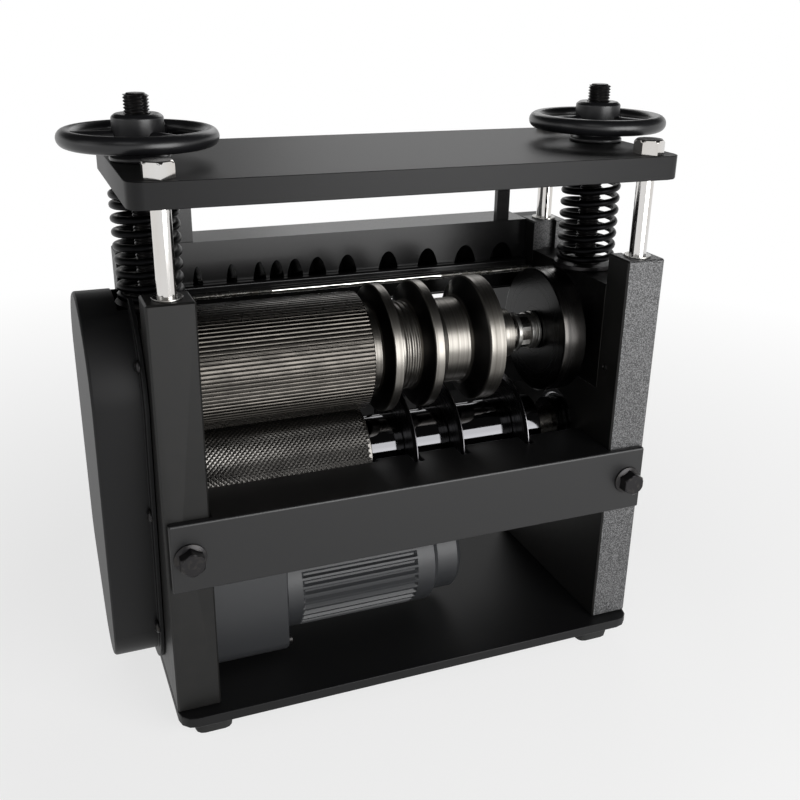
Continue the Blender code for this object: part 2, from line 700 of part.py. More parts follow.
def add_crossbars(shop):
    """Front angle with notches for the blades, its flanged bolts, and the rear tie bar."""
    half = HALF_OUTER - CROSSBAR_END_INSET
    inner = FRONT_FACE + ANGLE_WALL - FIT_GAP
    below = CROSSBAR_Z - ANGLE_WALL - CUT_OVERRUN
    above = CROSSBAR_Z + CUT_OVERRUN
    edge = FRONT_FACE + ANGLE_LEG
    section = [
        (FRONT_FACE, CROSSBAR_Z - ANGLE_LEG),
        (inner, CROSSBAR_Z - ANGLE_LEG),
        (inner, CROSSBAR_Z - ANGLE_WALL),
        (edge, CROSSBAR_Z - ANGLE_WALL),
        (edge, CROSSBAR_Z),
        (FRONT_FACE, CROSSBAR_Z),
    ]
    front = shop.add("front_crossbar", slab("X", -half, half, section), "frame", "black_paint")
    ends = bmesh.new()
    for _side, sign in SIDES:
        start, end = sorted((sign * BETWEEN_SIDES, sign * (half + CUT_OVERRUN)))
        box((start, inner, below), (end, edge + CUT_OVERRUN, above), into=ends)
    shop.combine(front, ends, "crossbar_end_cutter")
    reliefs = bmesh.new()
    relief_right = FLUTED_RIGHT + ROLLER_RELIEF_OVERRUN
    relief_left = -BETWEEN_SIDES - CUT_OVERRUN
    back = edge + CUT_OVERRUN
    box((relief_left, edge - ROLLER_RELIEF, below), (relief_right, back, above), into=reliefs)
    width = BLADE_THICKNESS / 2 + NOTCH_SIDE_CLEARANCE
    depth = -BLADE_RADIUS - NOTCH_END_CLEARANCE
    for place in BLADE_PLACES:
        box((place - width, depth, below), (place + width, back, above), into=reliefs)
    shop.combine(front, reliefs, "crossbar_notch_cutter")
    holes = bmesh.new()
    hole = BOLT_SHANK_RADIUS + HOLE_GAP
    for side, sign in SIDES:
        centre = (sign * SIDE_MIDDLE, BOLT_Z)
        rod("Y", FRONT_FACE - CUT_OVERRUN, inner + CUT_OVERRUN, hole, centre, BOLT_FACETS, holes)
        shop.add(side + "_crossbar_bolt", flange_bolt(centre), "frame", "black_oxide")
    shop.combine(front, holes, "crossbar_bolt_cutter")
    low = (-half, HALF_DEPTH + FIT_GAP, CROSSBAR_Z - ANGLE_LEG)
    high = (half, HALF_DEPTH + TIE_BAR_WALL, CROSSBAR_Z)
    rear = shop.add("rear_tie_bar", box(low, high), "frame", "black_paint")
    shop.soften(rear, ARRIS)


def flange_bolt(centre):
    """A hexagon bolt along Y whose flange sits on the front of the crossbar."""
    seat = FRONT_FACE - FIT_GAP
    flange_top = seat - BOLT_FLANGE_THICKNESS
    head_top = flange_top - BOLT_HEAD_HEIGHT
    shank = circle(BOLT_SHANK_RADIUS, BOLT_FACETS, centre)
    flange = circle(BOLT_FLANGE_RADIUS, BOLT_FACETS, centre)
    head = hexagon(BOLT_ACROSS_FLATS, BOLT_FACETS, centre)
    sections = (
        (seat + BOLT_SHANK_LENGTH, shank),
        (seat, shank),
        (seat, flange),
        (seat - BOLT_RIM_THICKNESS, flange),
        (flange_top, head),
        (head_top + BOLT_CHAMFER, head),
        (head_top, circle(BOLT_ACROSS_FLATS / 2, BOLT_FACETS, centre)),
    )
    return loft("Y", sections)


def add_top(shop):
    """Top plate, and the four long bolts that are its posts."""
    head_bottom = PLATE_TOP + FIT_GAP
    head_top = head_bottom + POST_HEAD_HEIGHT
    places = {
        f"{end}_{side}_post": (sign * SIDE_MIDDLE, sense * POST_Y)
        for side, sign in SIDES
        for end, sense in ENDS
    }
    for name, centre in places.items():
        shank = circle(POST_RADIUS, BOLT_FACETS, centre)
        head = hexagon(POST_ACROSS_FLATS, BOLT_FACETS, centre)
        sections = (
            (SIDE_TOP - POST_SINK + FIT_GAP, shank),
            (head_bottom, shank),
            (head_bottom, head),
            (head_top - BOLT_CHAMFER, head),
            (head_top, circle(POST_ACROSS_FLATS / 2, BOLT_FACETS, centre)),
        )
        shop.add(name, loft("Z", sections), "frame", "chrome")
    edge = HALF_OUTER + TOP_PLATE_OVERHANG
    outline = rounded((-edge, -HALF_DEPTH), (edge, HALF_DEPTH), TOP_PLATE_CORNER)
    holes = [circle(POST_RADIUS + HOLE_GAP, BOLT_FACETS, centre) for centre in places.values()]
    for _side, sign in SIDES:
        holes.append(circle(LIFT_SCREW_RADIUS + HOLE_GAP, SHAFT_FACETS, (sign * SIDE_MIDDLE, 0)))
    shop.add("top_plate", slab("Z", PLATE_BOTTOM, PLATE_TOP, outline, holes), "frame", "black_paint")


def slider_outline(middle):
    """Slider block seen from above, with the tongues that run in the casting's grooves."""
    half = SIDE_THICKNESS / 2
    body = SLOT_HALF - FIT_GAP
    tongue = body + SLOT_GROOVE_DEPTH
    width = SLOT_GROOVE_WIDTH / 2 - FIT_GAP
    quarter = [(half, body), (width, body), (width, tongue)]
    right = [(x, -y) for x, y in reversed(quarter)]
    left = [(-x, y) for x, y in reversed(quarter)]
    corner = [(-x, -y) for x, y in quarter]
    return [(middle + x, y) for x, y in quarter + left + corner + right]


def add_carriage(shop):
    """Slider blocks in the castings' slots, with their lift screws, and the bearings of both shafts."""
    body = "upper_carriage"
    sink = SLIDER_TOP - LIFT_SCREW_SINK
    seat_bottom = SLIDER_TOP + FIT_GAP
    screw_top = WHEEL_Z + HUB_HEIGHT + LIFT_SCREW_PROUD
    hole = LIFT_SCREW_RADIUS + HOLE_GAP
    for side, sign in SIDES:
        centre = (sign * SIDE_MIDDLE, 0)
        mesh = slab("Z", SLIDER_BOTTOM, SLIDER_TOP, slider_outline(centre[0]))
        slider = shop.add(side + "_slider_block", mesh, body, "roller_steel")
        shop.combine(slider, bearing_seat(sign, (0, UPPER_Z)), side + "_slider_bore_cutter", body)
        socket = rod("Z", sink, SLIDER_TOP + CUT_OVERRUN, hole, centre, SHAFT_FACETS)
        shop.combine(slider, socket, side + "_screw_socket_cutter", body)
        profile = [
            (sink + FIT_GAP, 0),
            (sink + FIT_GAP, LIFT_SCREW_RADIUS),
            (seat_bottom, LIFT_SCREW_RADIUS),
            (seat_bottom, SEAT_RADIUS),
            (SEAT_TOP, SEAT_RADIUS),
            (SEAT_TOP, LIFT_SCREW_RADIUS),
            (screw_top - SHAFT_CHAMFER, LIFT_SCREW_RADIUS),
            (screw_top, LIFT_SCREW_RADIUS - SHAFT_CHAMFER),
            (screw_top, 0),
        ]
        shop.add(side + "_lift_screw", turned("Z", profile, centre, SHAFT_FACETS), body, "bright_steel")
        for level, height, carrier in (("upper", UPPER_Z, body), ("lower", LOWER_Z, "frame")):
            near, far = sorted((sign * BEARING_FACE, sign * BEARING_BACK))
            bearing = ring("X", near, far, BORE_RADIUS, BEARING_RADIUS, (0, height), SHAFT_FACETS)
            shop.add(f"{side}_{level}_bearing", bearing, carrier, "bearing_steel")


def spring_points(centre_x):
    """Centre line of a spring: a helix between two short straight ends that meet their seats."""
    bottom = SEAT_TOP + FIT_GAP
    top = PLATE_BOTTOM - FIT_GAP
    rise = top - bottom - 2 * SPRING_END
    turns = max(round(rise / SPRING_PITCH), 1)
    steps = turns * SPRING_CURL_POINTS
    points = [(centre_x, SPRING_RADIUS, bottom)]
    for i in range(steps + 1):
        angle = math.pi / 2 + 2 * math.pi * i / SPRING_CURL_POINTS
        x = centre_x + SPRING_RADIUS * math.cos(angle)
        points.append((x, SPRING_RADIUS * math.sin(angle), bottom + SPRING_END + rise * i / steps))
    points.append((centre_x, SPRING_RADIUS, top))
    return points


def least_self_gap(points, radius):
    """Smallest clear space between stretches of wire that lie more than a third of a curl apart."""
    least = math.inf
    apart = SPRING_CURL_POINTS // 3 + 1
    for i, first in enumerate(points):
        for second in points[i + apart :]:
            least = min(least, math.dist(first, second) - 2 * radius)
    return least


def add_springs(shop):
    """The two compression springs round the lift screws."""
    for side, sign in SIDES:
        points = spring_points(sign * SIDE_MIDDLE)
        print(f"{side}_spring least gap to itself {least_self_gap(points, SPRING_WIRE_RADIUS):.5f} m")
        shop.add_wire(side + "_spring", points, SPRING_WIRE_RADIUS, "frame", "spring_steel")


def add_handwheels(shop):
    """Handwheels on the top plate, whose hubs are the nuts of the lift screws."""
    hole = LIFT_SCREW_RADIUS + HOLE_GAP
    middle_z = WHEEL_Z + HUB_HEIGHT / 2
    hub_top = WHEEL_Z + HUB_HEIGHT
    for side, sign in SIDES:
        body = side + "_wheel"
        centre = (sign * SIDE_MIDDLE, 0)
        profile = [
            (WHEEL_Z, hole),
            (WHEEL_Z, THRUST_RADIUS),
            (WHEEL_Z + THRUST_THICKNESS, THRUST_RADIUS),
            (WHEEL_Z + THRUST_THICKNESS, HUB_RADIUS),
            (hub_top - ARRIS, HUB_RADIUS),
            (hub_top, HUB_RADIUS - ARRIS),
            (hub_top, hole),
        ]
        hub = turned("Z", profile, centre, SHAFT_FACETS)
        wheel = shop.add(side + "_handwheel", hub, body, "black_plastic")
        spokes = bmesh.new()
        for i in range(SPOKE_COUNT):
            before = len(spokes.verts)
            rod("X", (HUB_RADIUS + hole) / 2, RIM_RADIUS, SPOKE_RADIUS, (0, 0), PIN_FACETS, spokes)
            turn = Matrix.Rotation(2 * math.pi * (i + 0.5) / SPOKE_COUNT, 3, "Z")
            bmesh.ops.rotate(spokes, verts=list(spokes.verts)[before:], cent=(0, 0, 0), matrix=turn)
        bmesh.ops.translate(spokes, verts=spokes.verts, vec=(*centre, middle_z))
        shop.combine(wheel, spokes, side + "_spoke_helper", body, "UNION")
        tube = [(middle_z + z, RIM_RADIUS + radius) for z, radius in circle(RIM_TUBE_RADIUS, PIN_FACETS)]
        shop.combine(wheel, turned("Z", tube, centre, LARGE_FACETS), side + "_rim_helper", body, "UNION")


def shaft_profile():
    """Profile of a shaft from its gear to the right-hand bearing, with a chamfer at each end."""
    left = GEAR_FAR_X - FIT_GAP
    return [
        (left, 0),
        (left, SHAFT_RADIUS - SHAFT_CHAMFER),
        (left + SHAFT_CHAMFER, SHAFT_RADIUS),
        (BEARING_BACK - SHAFT_CHAMFER, SHAFT_RADIUS),
        (BEARING_BACK, SHAFT_RADIUS - SHAFT_CHAMFER),
        (BEARING_BACK, 0),
    ]


def add_upper_shaft(shop):
    """Upper shaft with its fluted feed roller, grooved rollers, spool and end roller."""
    body = "upper_shaft_set"
    centre = (0, UPPER_Z)
    shop.add("upper_shaft", turned("X", shaft_profile(), centre, SHAFT_FACETS), body, "bright_steel")
    turn = math.pi / FLUTE_COUNT
    outline = []
    for i in range(2 * FLUTE_COUNT):
        radius = FLUTED_RADIUS - FLUTE_DEPTH * (i % 2)
        outline.append((radius * math.cos(turn * i), UPPER_Z + radius * math.sin(turn * i)))
    bore = [circle(BORE_RADIUS, SHAFT_FACETS, centre)]
    shop.add("fluted_roller", slab("X", ROLLER_LEFT, FLUTED_RIGHT, outline, bore), body, "roller_steel")
    waist_left = SPOOL_LEFT + SPOOL_RIM_LENGTH
    waist_right = waist_left + SPOOL_WAIST_LENGTH
    rollers = {
        "relief_roller": [
            (FLUTED_RIGHT + FIT_GAP, CORE_RADIUS),
            (RELIEF_RIGHT, CORE_RADIUS),
            (FLANGE_1_LEFT, FLANGE_RADIUS),
            (FLANGE_1_RIGHT - EDGE_BREAK, FLANGE_RADIUS),
            (FLANGE_1_RIGHT, FLANGE_RADIUS - EDGE_BREAK),
        ],
        "narrow_groove_roller": [
            (FLANGE_1_RIGHT + FIT_GAP, FLANGE_RADIUS - EDGE_BREAK),
            (FLANGE_1_RIGHT + GROOVE_1_SLOPE, CORE_RADIUS),
            (FLANGE_2_LEFT - GROOVE_1_SLOPE, CORE_RADIUS),
            (FLANGE_2_LEFT, FLANGE_RADIUS),
            (FLANGE_2_RIGHT - EDGE_BREAK, FLANGE_RADIUS),
            (FLANGE_2_RIGHT, FLANGE_RADIUS - EDGE_BREAK),
        ],
        "wide_groove_roller": [
            (FLANGE_2_RIGHT + FIT_GAP, FLANGE_RADIUS - EDGE_BREAK),
            (FLANGE_2_RIGHT + GROOVE_2_SLOPE, CORE_RADIUS),
            (FLANGE_3_LEFT - GROOVE_2_SLOPE, CORE_RADIUS),
            (FLANGE_3_LEFT, FLANGE_RADIUS),
            (FLANGE_3_RIGHT, FLANGE_RADIUS),
            (FLANGE_3_RIGHT, COLLAR_RADIUS),
            (COLLAR_RIGHT, COLLAR_RADIUS),
        ],
        "end_roller": [
            (END_LEFT, END_FLANGE_RADIUS - EDGE_BREAK),
            (END_LEFT + EDGE_BREAK, END_FLANGE_RADIUS),
            (END_FACE, END_FLANGE_RADIUS),
            (END_FACE, END_HUB_RADIUS),
            (END_RIGHT, END_HUB_RADIUS),
        ],
    }
    for name, stations in rollers.items():
        shop.add(name, sleeve(stations, centre, LARGE_FACETS), body, "groove_steel")
    spool = [
        (SPOOL_LEFT, SPOOL_RIM_RADIUS),
        (waist_left, SPOOL_RIM_RADIUS),
        (waist_left, SPOOL_WAIST_RADIUS),
        (waist_right, SPOOL_WAIST_RADIUS),
        (waist_right, SPOOL_RIM_RADIUS),
        (SPOOL_RIGHT, SPOOL_RIM_RADIUS),
    ]
    shop.add("waisted_spool", sleeve(spool, centre, SHAFT_FACETS), body, "bright_steel")


def lock_nut():
    """Stations of the lock nut: thin rings on a core, one after another along the shaft."""
    stations = []
    for i in reversed(range(LOCK_RING_COUNT)):
        high = END_RIGHT - LOCK_RING_PITCH * i
        low = high - LOCK_RING_THICKNESS
        if stations:
            stations.append((low, LOCK_CORE_RADIUS))
        stations += [(low, LOCK_RING_RADIUS), (high, LOCK_RING_RADIUS)]
        if i:
            stations.append((high, LOCK_CORE_RADIUS))
    return stations


def add_lower_shaft(shop):
    """Lower shaft with its knurled roller, the disc blades, their spacers and the ringed lock nut."""
    body = "lower_shaft_set"
    centre = (0, LOWER_Z)
    half = BLADE_THICKNESS / 2
    shop.add("lower_shaft", turned("X", shaft_profile(), centre, SHAFT_FACETS), body, "bright_steel")
    stations = [
        (ROLLER_LEFT, KNURLED_RADIUS - EDGE_BREAK),
        (ROLLER_LEFT + EDGE_BREAK, KNURLED_RADIUS),
        (KNURLED_RIGHT - EDGE_BREAK, KNURLED_RADIUS),
        (KNURLED_RIGHT, KNURLED_RADIUS - EDGE_BREAK),
        (KNURLED_RIGHT, SPACER_RADIUS),
        (BLADE_PLACES[0] - half - FIT_GAP, SPACER_RADIUS),
    ]
    shop.add("knurled_roller", sleeve(stations, centre, LARGE_FACETS), body, "dark_steel")
    spacer_ends = [place - half - FIT_GAP for place in BLADE_PLACES[1:]] + [LAST_SPACER_RIGHT]
    for number, (place, spacer_end) in enumerate(zip(BLADE_PLACES, spacer_ends), start=1):
        stations = [
            (place - half, BLADE_RADIUS - BLADE_BEVEL),
            (place - BLADE_EDGE_THICKNESS / 2, BLADE_RADIUS),
            (place + BLADE_EDGE_THICKNESS / 2, BLADE_RADIUS),
            (place + half, BLADE_RADIUS - BLADE_BEVEL),
        ]
        shop.add(f"disc_blade_{number}", sleeve(stations, centre, LARGE_FACETS), body, "blade_steel")
        start = place + half + FIT_GAP
        spacer = ring("X", start, spacer_end, BORE_RADIUS, SPACER_RADIUS, centre, SHAFT_FACETS)
        shop.add(f"blade_spacer_{number}", spacer, body, "dark_steel")
    shop.add("lock_nut", sleeve(lock_nut(), centre, SHAFT_FACETS), body, "bright_steel")


def gear_outline(teeth, phase, centre):
    """Outline of a spur gear with straight-sided teeth, one of them centred at the phase angle."""
    pitch_radius = GEAR_MODULE * teeth / 2
    step = 2 * math.pi / teeth
    root = (-DEDENDUM_SHARE, ROOT_SHARE)
    tip = (ADDENDUM_SHARE, TIP_SHARE)
    points = []
    for i in range(teeth):
        for side, (height, share) in ((-1, root), (-1, tip), (1, tip), (1, root)):
            radius = pitch_radius + GEAR_MODULE * height
            angle = phase + step * (i + side * share / 2)
            points.append((centre[0] + radius * math.cos(angle), centre[1] + radius * math.sin(angle)))
    return points


def meshing_phase(phase, teeth, direction, other_teeth):
    """Phase of a gear that meshes with one of a known phase and lies from it in a direction."""
    return direction + math.pi - (phase - direction) * teeth / other_teeth - math.pi / other_teeth


def add_gears(shop):
    """Gears of both shafts, the idler on its pin, and the pinion cut on the motor's output shaft."""
    up = math.pi / 2
    to_idler = math.atan2(IDLER_Z - LOWER_Z, IDLER_Y)
    to_pinion = math.atan2(MOTOR_Z - IDLER_Z, -IDLER_Y)
    upper_phase = meshing_phase(up, SHAFT_TEETH, up, SHAFT_TEETH)
    idler_phase = meshing_phase(up, SHAFT_TEETH, to_idler, IDLER_TEETH)
    pinion_phase = meshing_phase(idler_phase, IDLER_TEETH, to_pinion, PINION_TEETH)
    idler = (IDLER_Y, IDLER_Z)
    gears = (
        ("lower_gear", "lower_shaft_set", SHAFT_TEETH, up, (0, LOWER_Z), BORE_RADIUS),
        ("upper_gear", "upper_shaft_set", SHAFT_TEETH, upper_phase, (0, UPPER_Z), BORE_RADIUS),
        ("idler_gear", "idler", IDLER_TEETH, idler_phase, idler, IDLER_PIN_RADIUS + FIT_GAP),
    )
    for name, body, teeth, phase, centre, bore in gears:
        hole = [circle(bore, SHAFT_FACETS, centre)]
        mesh = slab("X", GEAR_FAR_X, GEAR_NEAR_X, gear_outline(teeth, phase, centre), hole)
        shop.add(name, mesh, body, "gear_steel")
    centre = (0, MOTOR_Z)
    mesh = slab("X", GEAR_FAR_X, GEAR_NEAR_X, gear_outline(PINION_TEETH, pinion_phase, centre))
    pinion = shop.add("output_pinion", mesh, "motor_output", "gear_steel")
    stem = rod("X", GEAR_NEAR_X - JOIN_LAP, -HALF_INNER, OUTPUT_RADIUS, centre, BOLT_FACETS)
    shop.combine(pinion, stem, "output_stem_helper", "motor_output", "UNION")
    pin_end = -HALF_OUTER + IDLER_PIN_SINK - FIT_GAP
    head_near = GEAR_FAR_X - FIT_GAP
    head_far = head_near - IDLER_PIN_HEAD_THICKNESS
    profile = [
        (pin_end, 0),
        (pin_end, IDLER_PIN_RADIUS),
        (head_near, IDLER_PIN_RADIUS),
        (head_near, IDLER_PIN_HEAD_RADIUS),
        (head_far, IDLER_PIN_HEAD_RADIUS),
        (head_far, 0),
    ]
    shop.add("idler_pin", turned("X", profile, idler, BOLT_FACETS), "frame", "bright_steel")


def add_motor(shop):
    """Gear motor on the inner face of the left casting."""
    centre = (0, MOTOR_Z)
    near = -BETWEEN_SIDES
    far = near + GEARBOX_LENGTH
    side = GEARBOX_SIDE - 2 * ARRIS
    face = centred(centre, GEARBOX_SIDE, GEARBOX_SIDE, GEARBOX_CORNER)
    end = centred(centre, side, side, GEARBOX_CORNER - ARRIS)
    sections = ((near, end), (near + ARRIS, face), (far - ARRIS, face), (far, end))
    shop.add("gearbox", loft("X", sections), "frame", "motor_grey")
    start = far + FIT_GAP
    shoulder = start + MOTOR_LENGTH
    cap = shoulder + MOTOR_SHOULDER
    cap_end = cap + MOTOR_CAP_LENGTH
    profile = [
        (start, 0),
        (start, MOTOR_RADIUS),
        (shoulder, MOTOR_RADIUS),
        (cap, MOTOR_CAP_RADIUS),
        (cap_end - MOTOR_SHOULDER, MOTOR_CAP_RADIUS),
        (cap_end, MOTOR_CAP_RADIUS - MOTOR_SHOULDER),
        (cap_end, 0),
    ]
    shop.add("motor_body", turned("X", profile, centre, LARGE_FACETS), "frame", "motor_grey")


def cover_outline(offset):
    """Outline of the gear cover, moved out by an offset.

    It wraps the tip circles of the gears, and the widest circle also covers the slider's slot.
    """
    tip = GEAR_MODULE * ADDENDUM_SHARE + COVER_CLEARANCE
    circles = (
        (0, UPPER_Z, SLOT_HALF + COVER_SLOT_LAP),
        (0, LOWER_Z, GEAR_MODULE * SHAFT_TEETH / 2 + tip),
        (IDLER_Y, IDLER_Z, GEAR_MODULE * IDLER_TEETH / 2 + tip),
        (0, MOTOR_Z, GEAR_MODULE * PINION_TEETH / 2 + tip),
    )
    points = []
    for i in range(COVER_OUTLINE_POINTS):
        across = math.cos(2 * math.pi * i / COVER_OUTLINE_POINTS)
        up = math.sin(2 * math.pi * i / COVER_OUTLINE_POINTS)
        y, z, radius = max(circles, key=lambda found: found[0] * across + found[1] * up + found[2])
        points.append((y + (radius + offset) * across, z + (radius + offset) * up))
    return points


def add_cover(shop):
    """Cover over the gears, with a flange on the left casting and a notch for the spring's seat."""
    flange_face = COVER_NEAR_X - COVER_FLANGE_THICKNESS
    sections = (
        (COVER_FAR_X + COVER_WALL, cover_outline(0)),
        (COVER_NEAR_X, cover_outline(0)),
        (COVER_NEAR_X, cover_outline(COVER_WALL + COVER_FLANGE)),
        (flange_face, cover_outline(COVER_WALL + COVER_FLANGE)),
        (flange_face, cover_outline(COVER_WALL)),
        (COVER_FAR_X + COVER_ROUNDING, cover_outline(COVER_WALL)),
        (COVER_FAR_X, cover_outline(COVER_WALL - COVER_ROUNDING)),
    )
    cover = shop.add("gear_cover", loft("X", sections), "frame", "black_paint")
    reach = SEAT_RADIUS + COVER_NOTCH_CLEARANCE
    low = (-SIDE_MIDDLE - reach, -reach, SLIDER_TOP - COVER_NOTCH_CLEARANCE)
    high = (COVER_NEAR_X + CUT_OVERRUN, reach, SIDE_TOP + CUT_OVERRUN)
    shop.combine(cover, box(low, high), "cover_notch_cutter")


def arch(place_share, width_share):
    """Outline of one arch through the inlet guide: half an ellipse on a flat base."""
    middle = INNER_WIDTH * place_share
    half = INNER_WIDTH * width_share / 2
    base = SIDE_TOP - ARCH_BELOW_TOP - ARCH_HEIGHT
    points = []
    for i in range(ARCH_STEPS + 1):
        angle = math.pi * i / ARCH_STEPS
        points.append((middle + half * math.cos(angle), base + ARCH_HEIGHT * math.sin(angle)))
    return points


def add_inlet(shop):
    """Inlet guide with its arches and hanger lugs, and the lip and tie rod before it."""
    outline = square((-BETWEEN_SIDES, GUIDE_BOTTOM), (BETWEEN_SIDES, SIDE_TOP))
    arches = [arch(place, width) for place, width in zip(ARCH_PLACE_SHARES, ARCH_WIDTH_SHARES)]
    back = GUIDE_SET_BACK + GUIDE_DEPTH
    mesh = slab("Y", GUIDE_SET_BACK, back, outline, arches)
    guide = shop.add("inlet_guide", mesh, "frame", "black_paint")
    hangers = bmesh.new()
    front = GUIDE_SET_BACK + HANGER_SET_BACK
    outer = HALF_INNER - HANGER_INSET
    for _side, sign in SIDES:
        start, end = sorted((sign * outer, sign * (outer - HANGER_WIDTH)))
        high = (end, front + HANGER_THICKNESS, PLATE_BOTTOM - FIT_GAP)
        box((start, front, SIDE_TOP - JOIN_LAP), high, into=hangers)
    shop.combine(guide, hangers, "hanger_helper", operation="UNION")
    lip_back = GUIDE_SET_BACK - FIT_GAP
    lip_front = lip_back - LIP_DEPTH
    low = (-BETWEEN_SIDES, lip_front, LIP_TOP - LIP_HEIGHT)
    lip = shop.add("inlet_lip", box(low, (BETWEEN_SIDES, lip_back, LIP_TOP)), "frame", "black_paint")
    shop.soften(lip, ARRIS)
    centre = (lip_front - FIT_GAP - TIE_ROD_RADIUS, LIP_TOP - TIE_ROD_BELOW_LIP)
    tie_rod = rod("X", -BETWEEN_SIDES, BETWEEN_SIDES, TIE_ROD_RADIUS, centre, PIN_FACETS)
    shop.add("tie_rod", tie_rod, "frame", "bright_steel")


def add_feed_rest(shop):
    """Bar behind the nip with a row of pins that keep the cables apart."""
    pitch = INNER_WIDTH / (FEED_PIN_COUNT + 1)
    back = FEED_BAR_SET_BACK + FEED_BAR_DEPTH
    low = (-BETWEEN_SIDES, FEED_BAR_SET_BACK, FEED_BAR_TOP - FEED_BAR_HEIGHT)
    high = (BETWEEN_SIDES, back, FEED_BAR_TOP)
    bar = shop.add("feed_rest_bar", box(low, high), "frame", "black_paint")
    pins = bmesh.new()
    for i in range(FEED_PIN_COUNT):
        centre = (-HALF_INNER + pitch * (i + 1), FEED_BAR_SET_BACK + FEED_BAR_DEPTH / 2)
        top = FEED_BAR_TOP + FEED_PIN_HEIGHT
        rod("Z", FEED_BAR_TOP - JOIN_LAP, top, FEED_PIN_RADIUS, centre, PIN_FACETS, pins)
    shop.combine(bar, pins, "feed_pin_helper", operation="UNION")


def control_centre(body):
    """X and Z of a control on the panel."""
    place = BODY_PLACES[body]
    return place[0], place[2]


def add_control_box(shop):
    """Box behind the right casting, and its panel with a raised bezel round each control."""
    centre = (BOX_MIDDLE, BOX_MIDDLE_Z)
    outer = centred(centre, BOX_WIDTH, BOX_HEIGHT, BOX_CORNER)
    width = BOX_WIDTH - 2 * BOX_WALL
    inner = centred(centre, width, BOX_HEIGHT - 2 * BOX_WALL, BOX_CORNER - BOX_WALL)
    mouth = BOX_FRONT + BOX_DEPTH
    sections = ((BOX_FRONT + BOX_WALL, inner), (mouth, inner), (mouth, outer), (BOX_FRONT, outer))
    shop.add("control_box", loft("Y", sections), "frame", "black_paint")
    socket_centre = (BOX_MIDDLE, BOX_MIDDLE_Z + BOX_HEIGHT * SOCKET_ROW_SHARE)
    width = SOCKET_WIDTH + 2 * HOLE_GAP
    height = SOCKET_HEIGHT + 2 * HOLE_GAP
    hole = centred(socket_centre, width, height, SOCKET_CORNER + HOLE_GAP)
    mesh = slab("Y", PANEL_BACK, PANEL_FACE, outer, [hole])
    panel = shop.add("control_panel", mesh, "frame", "black_plastic")
    bezels = bmesh.new()
    bores = bmesh.new()
    bore = BUTTON_RADIUS + HOLE_GAP
    for body, stem in CONTROL_STEMS.items():
        place = control_centre(body)
        rod("Y", PANEL_BACK + PANEL_THICKNESS / 2, BEZEL_TOP, BEZEL_RADIUS, place, BOLT_FACETS, bezels)
        steps = [] if stem == BUTTON_RADIUS else [(PANEL_FACE, stem + HOLE_GAP), (PANEL_FACE, bore)]
        profile = [
            (PANEL_BACK - CUT_OVERRUN, 0),
            (PANEL_BACK - CUT_OVERRUN, stem + HOLE_GAP),
            *steps,
            (BEZEL_TOP + CUT_OVERRUN, bore),
            (BEZEL_TOP + CUT_OVERRUN, 0),
        ]
        turned("Y", profile, place, BOLT_FACETS, bores)
    shop.combine(panel, bezels, "bezel_helper", operation="UNION")
    shop.combine(panel, bores, "control_bore_cutter")
    add_socket(shop, socket_centre)


def add_socket(shop, centre):
    """Power inlet: a cup through the panel, with a flange on the panel's face."""
    back = PANEL_FACE + FIT_GAP
    front = back + SOCKET_FLANGE_THICKNESS
    end = back - SOCKET_DEPTH
    outer = centred(centre, SOCKET_WIDTH, SOCKET_HEIGHT, SOCKET_CORNER)
    width = SOCKET_WIDTH - 2 * SOCKET_WALL
    height = SOCKET_HEIGHT - 2 * SOCKET_WALL
    cavity = centred(centre, width, height, SOCKET_CORNER - SOCKET_WALL)
    flange_width = SOCKET_WIDTH + 2 * SOCKET_FLANGE
    flange_height = SOCKET_HEIGHT + 2 * SOCKET_FLANGE
    flange = centred(centre, flange_width, flange_height, SOCKET_CORNER)
    sections = (
        (end + SOCKET_FLOOR, cavity),
        (front, cavity),
        (front, flange),
        (back, flange),
        (back, outer),
        (end, outer),
    )
    shop.add("power_inlet", loft("Y", sections), "frame", "black_plastic")


def add_controls(shop):
    """Two push buttons and the emergency stop."""
    inside = PANEL_BACK - STEM_LENGTH
    head = PANEL_FACE + FIT_GAP + BUTTON_TRAVEL
    top = head + BUTTON_HEIGHT
    profile = [
        (inside, 0),
        (inside, STEM_RADIUS),
        (head, STEM_RADIUS),
        (head, BUTTON_RADIUS),
        (top - EDGE_BREAK, BUTTON_RADIUS),
        (top, BUTTON_RADIUS - EDGE_BREAK),
        (top, 0),
    ]
    for name, body, finish in (
        ("start_button", "start_control", "green_plastic"),
        ("stop_button", "stop_control", "red_plastic"),
    ):
        shop.add(name, turned("Y", profile, control_centre(body), BOLT_FACETS), body, finish)
    edge = MUSHROOM_BOTTOM + MUSHROOM_HEIGHT * MUSHROOM_EDGE_SHARE
    dome = MUSHROOM_TOP - edge
    profile = [
        (inside, 0),
        (inside, BUTTON_RADIUS),
        (MUSHROOM_BOTTOM, BUTTON_RADIUS),
        (MUSHROOM_BOTTOM, MUSHROOM_RADIUS),
        (edge, MUSHROOM_RADIUS),
    ]
    for i in range(1, CORNER_STEPS):
        angle = math.pi / 2 * i / CORNER_STEPS
        profile.append((edge + dome * math.sin(angle), MUSHROOM_RADIUS * math.cos(angle)))
    profile.append((MUSHROOM_TOP, 0))
    mushroom = turned("Y", profile, control_centre("mushroom_control"), BOLT_FACETS)
    shop.add("emergency_stop_button", mushroom, "mushroom_control", "red_plastic")


def main():
    """Build every piece of the machine."""
    shop = Shop()
    add_base(shop)
    for side, sign in SIDES:
        add_casting(shop, side, sign)
    add_crossbars(shop)
    add_top(shop)
    add_carriage(shop)
    add_springs(shop)
    add_handwheels(shop)
    add_upper_shaft(shop)
    add_lower_shaft(shop)
    add_gears(shop)
    add_motor(shop)
    add_cover(shop)
    add_inlet(shop)
    add_feed_rest(shop)
    add_control_box(shop)
    add_controls(shop)


main()
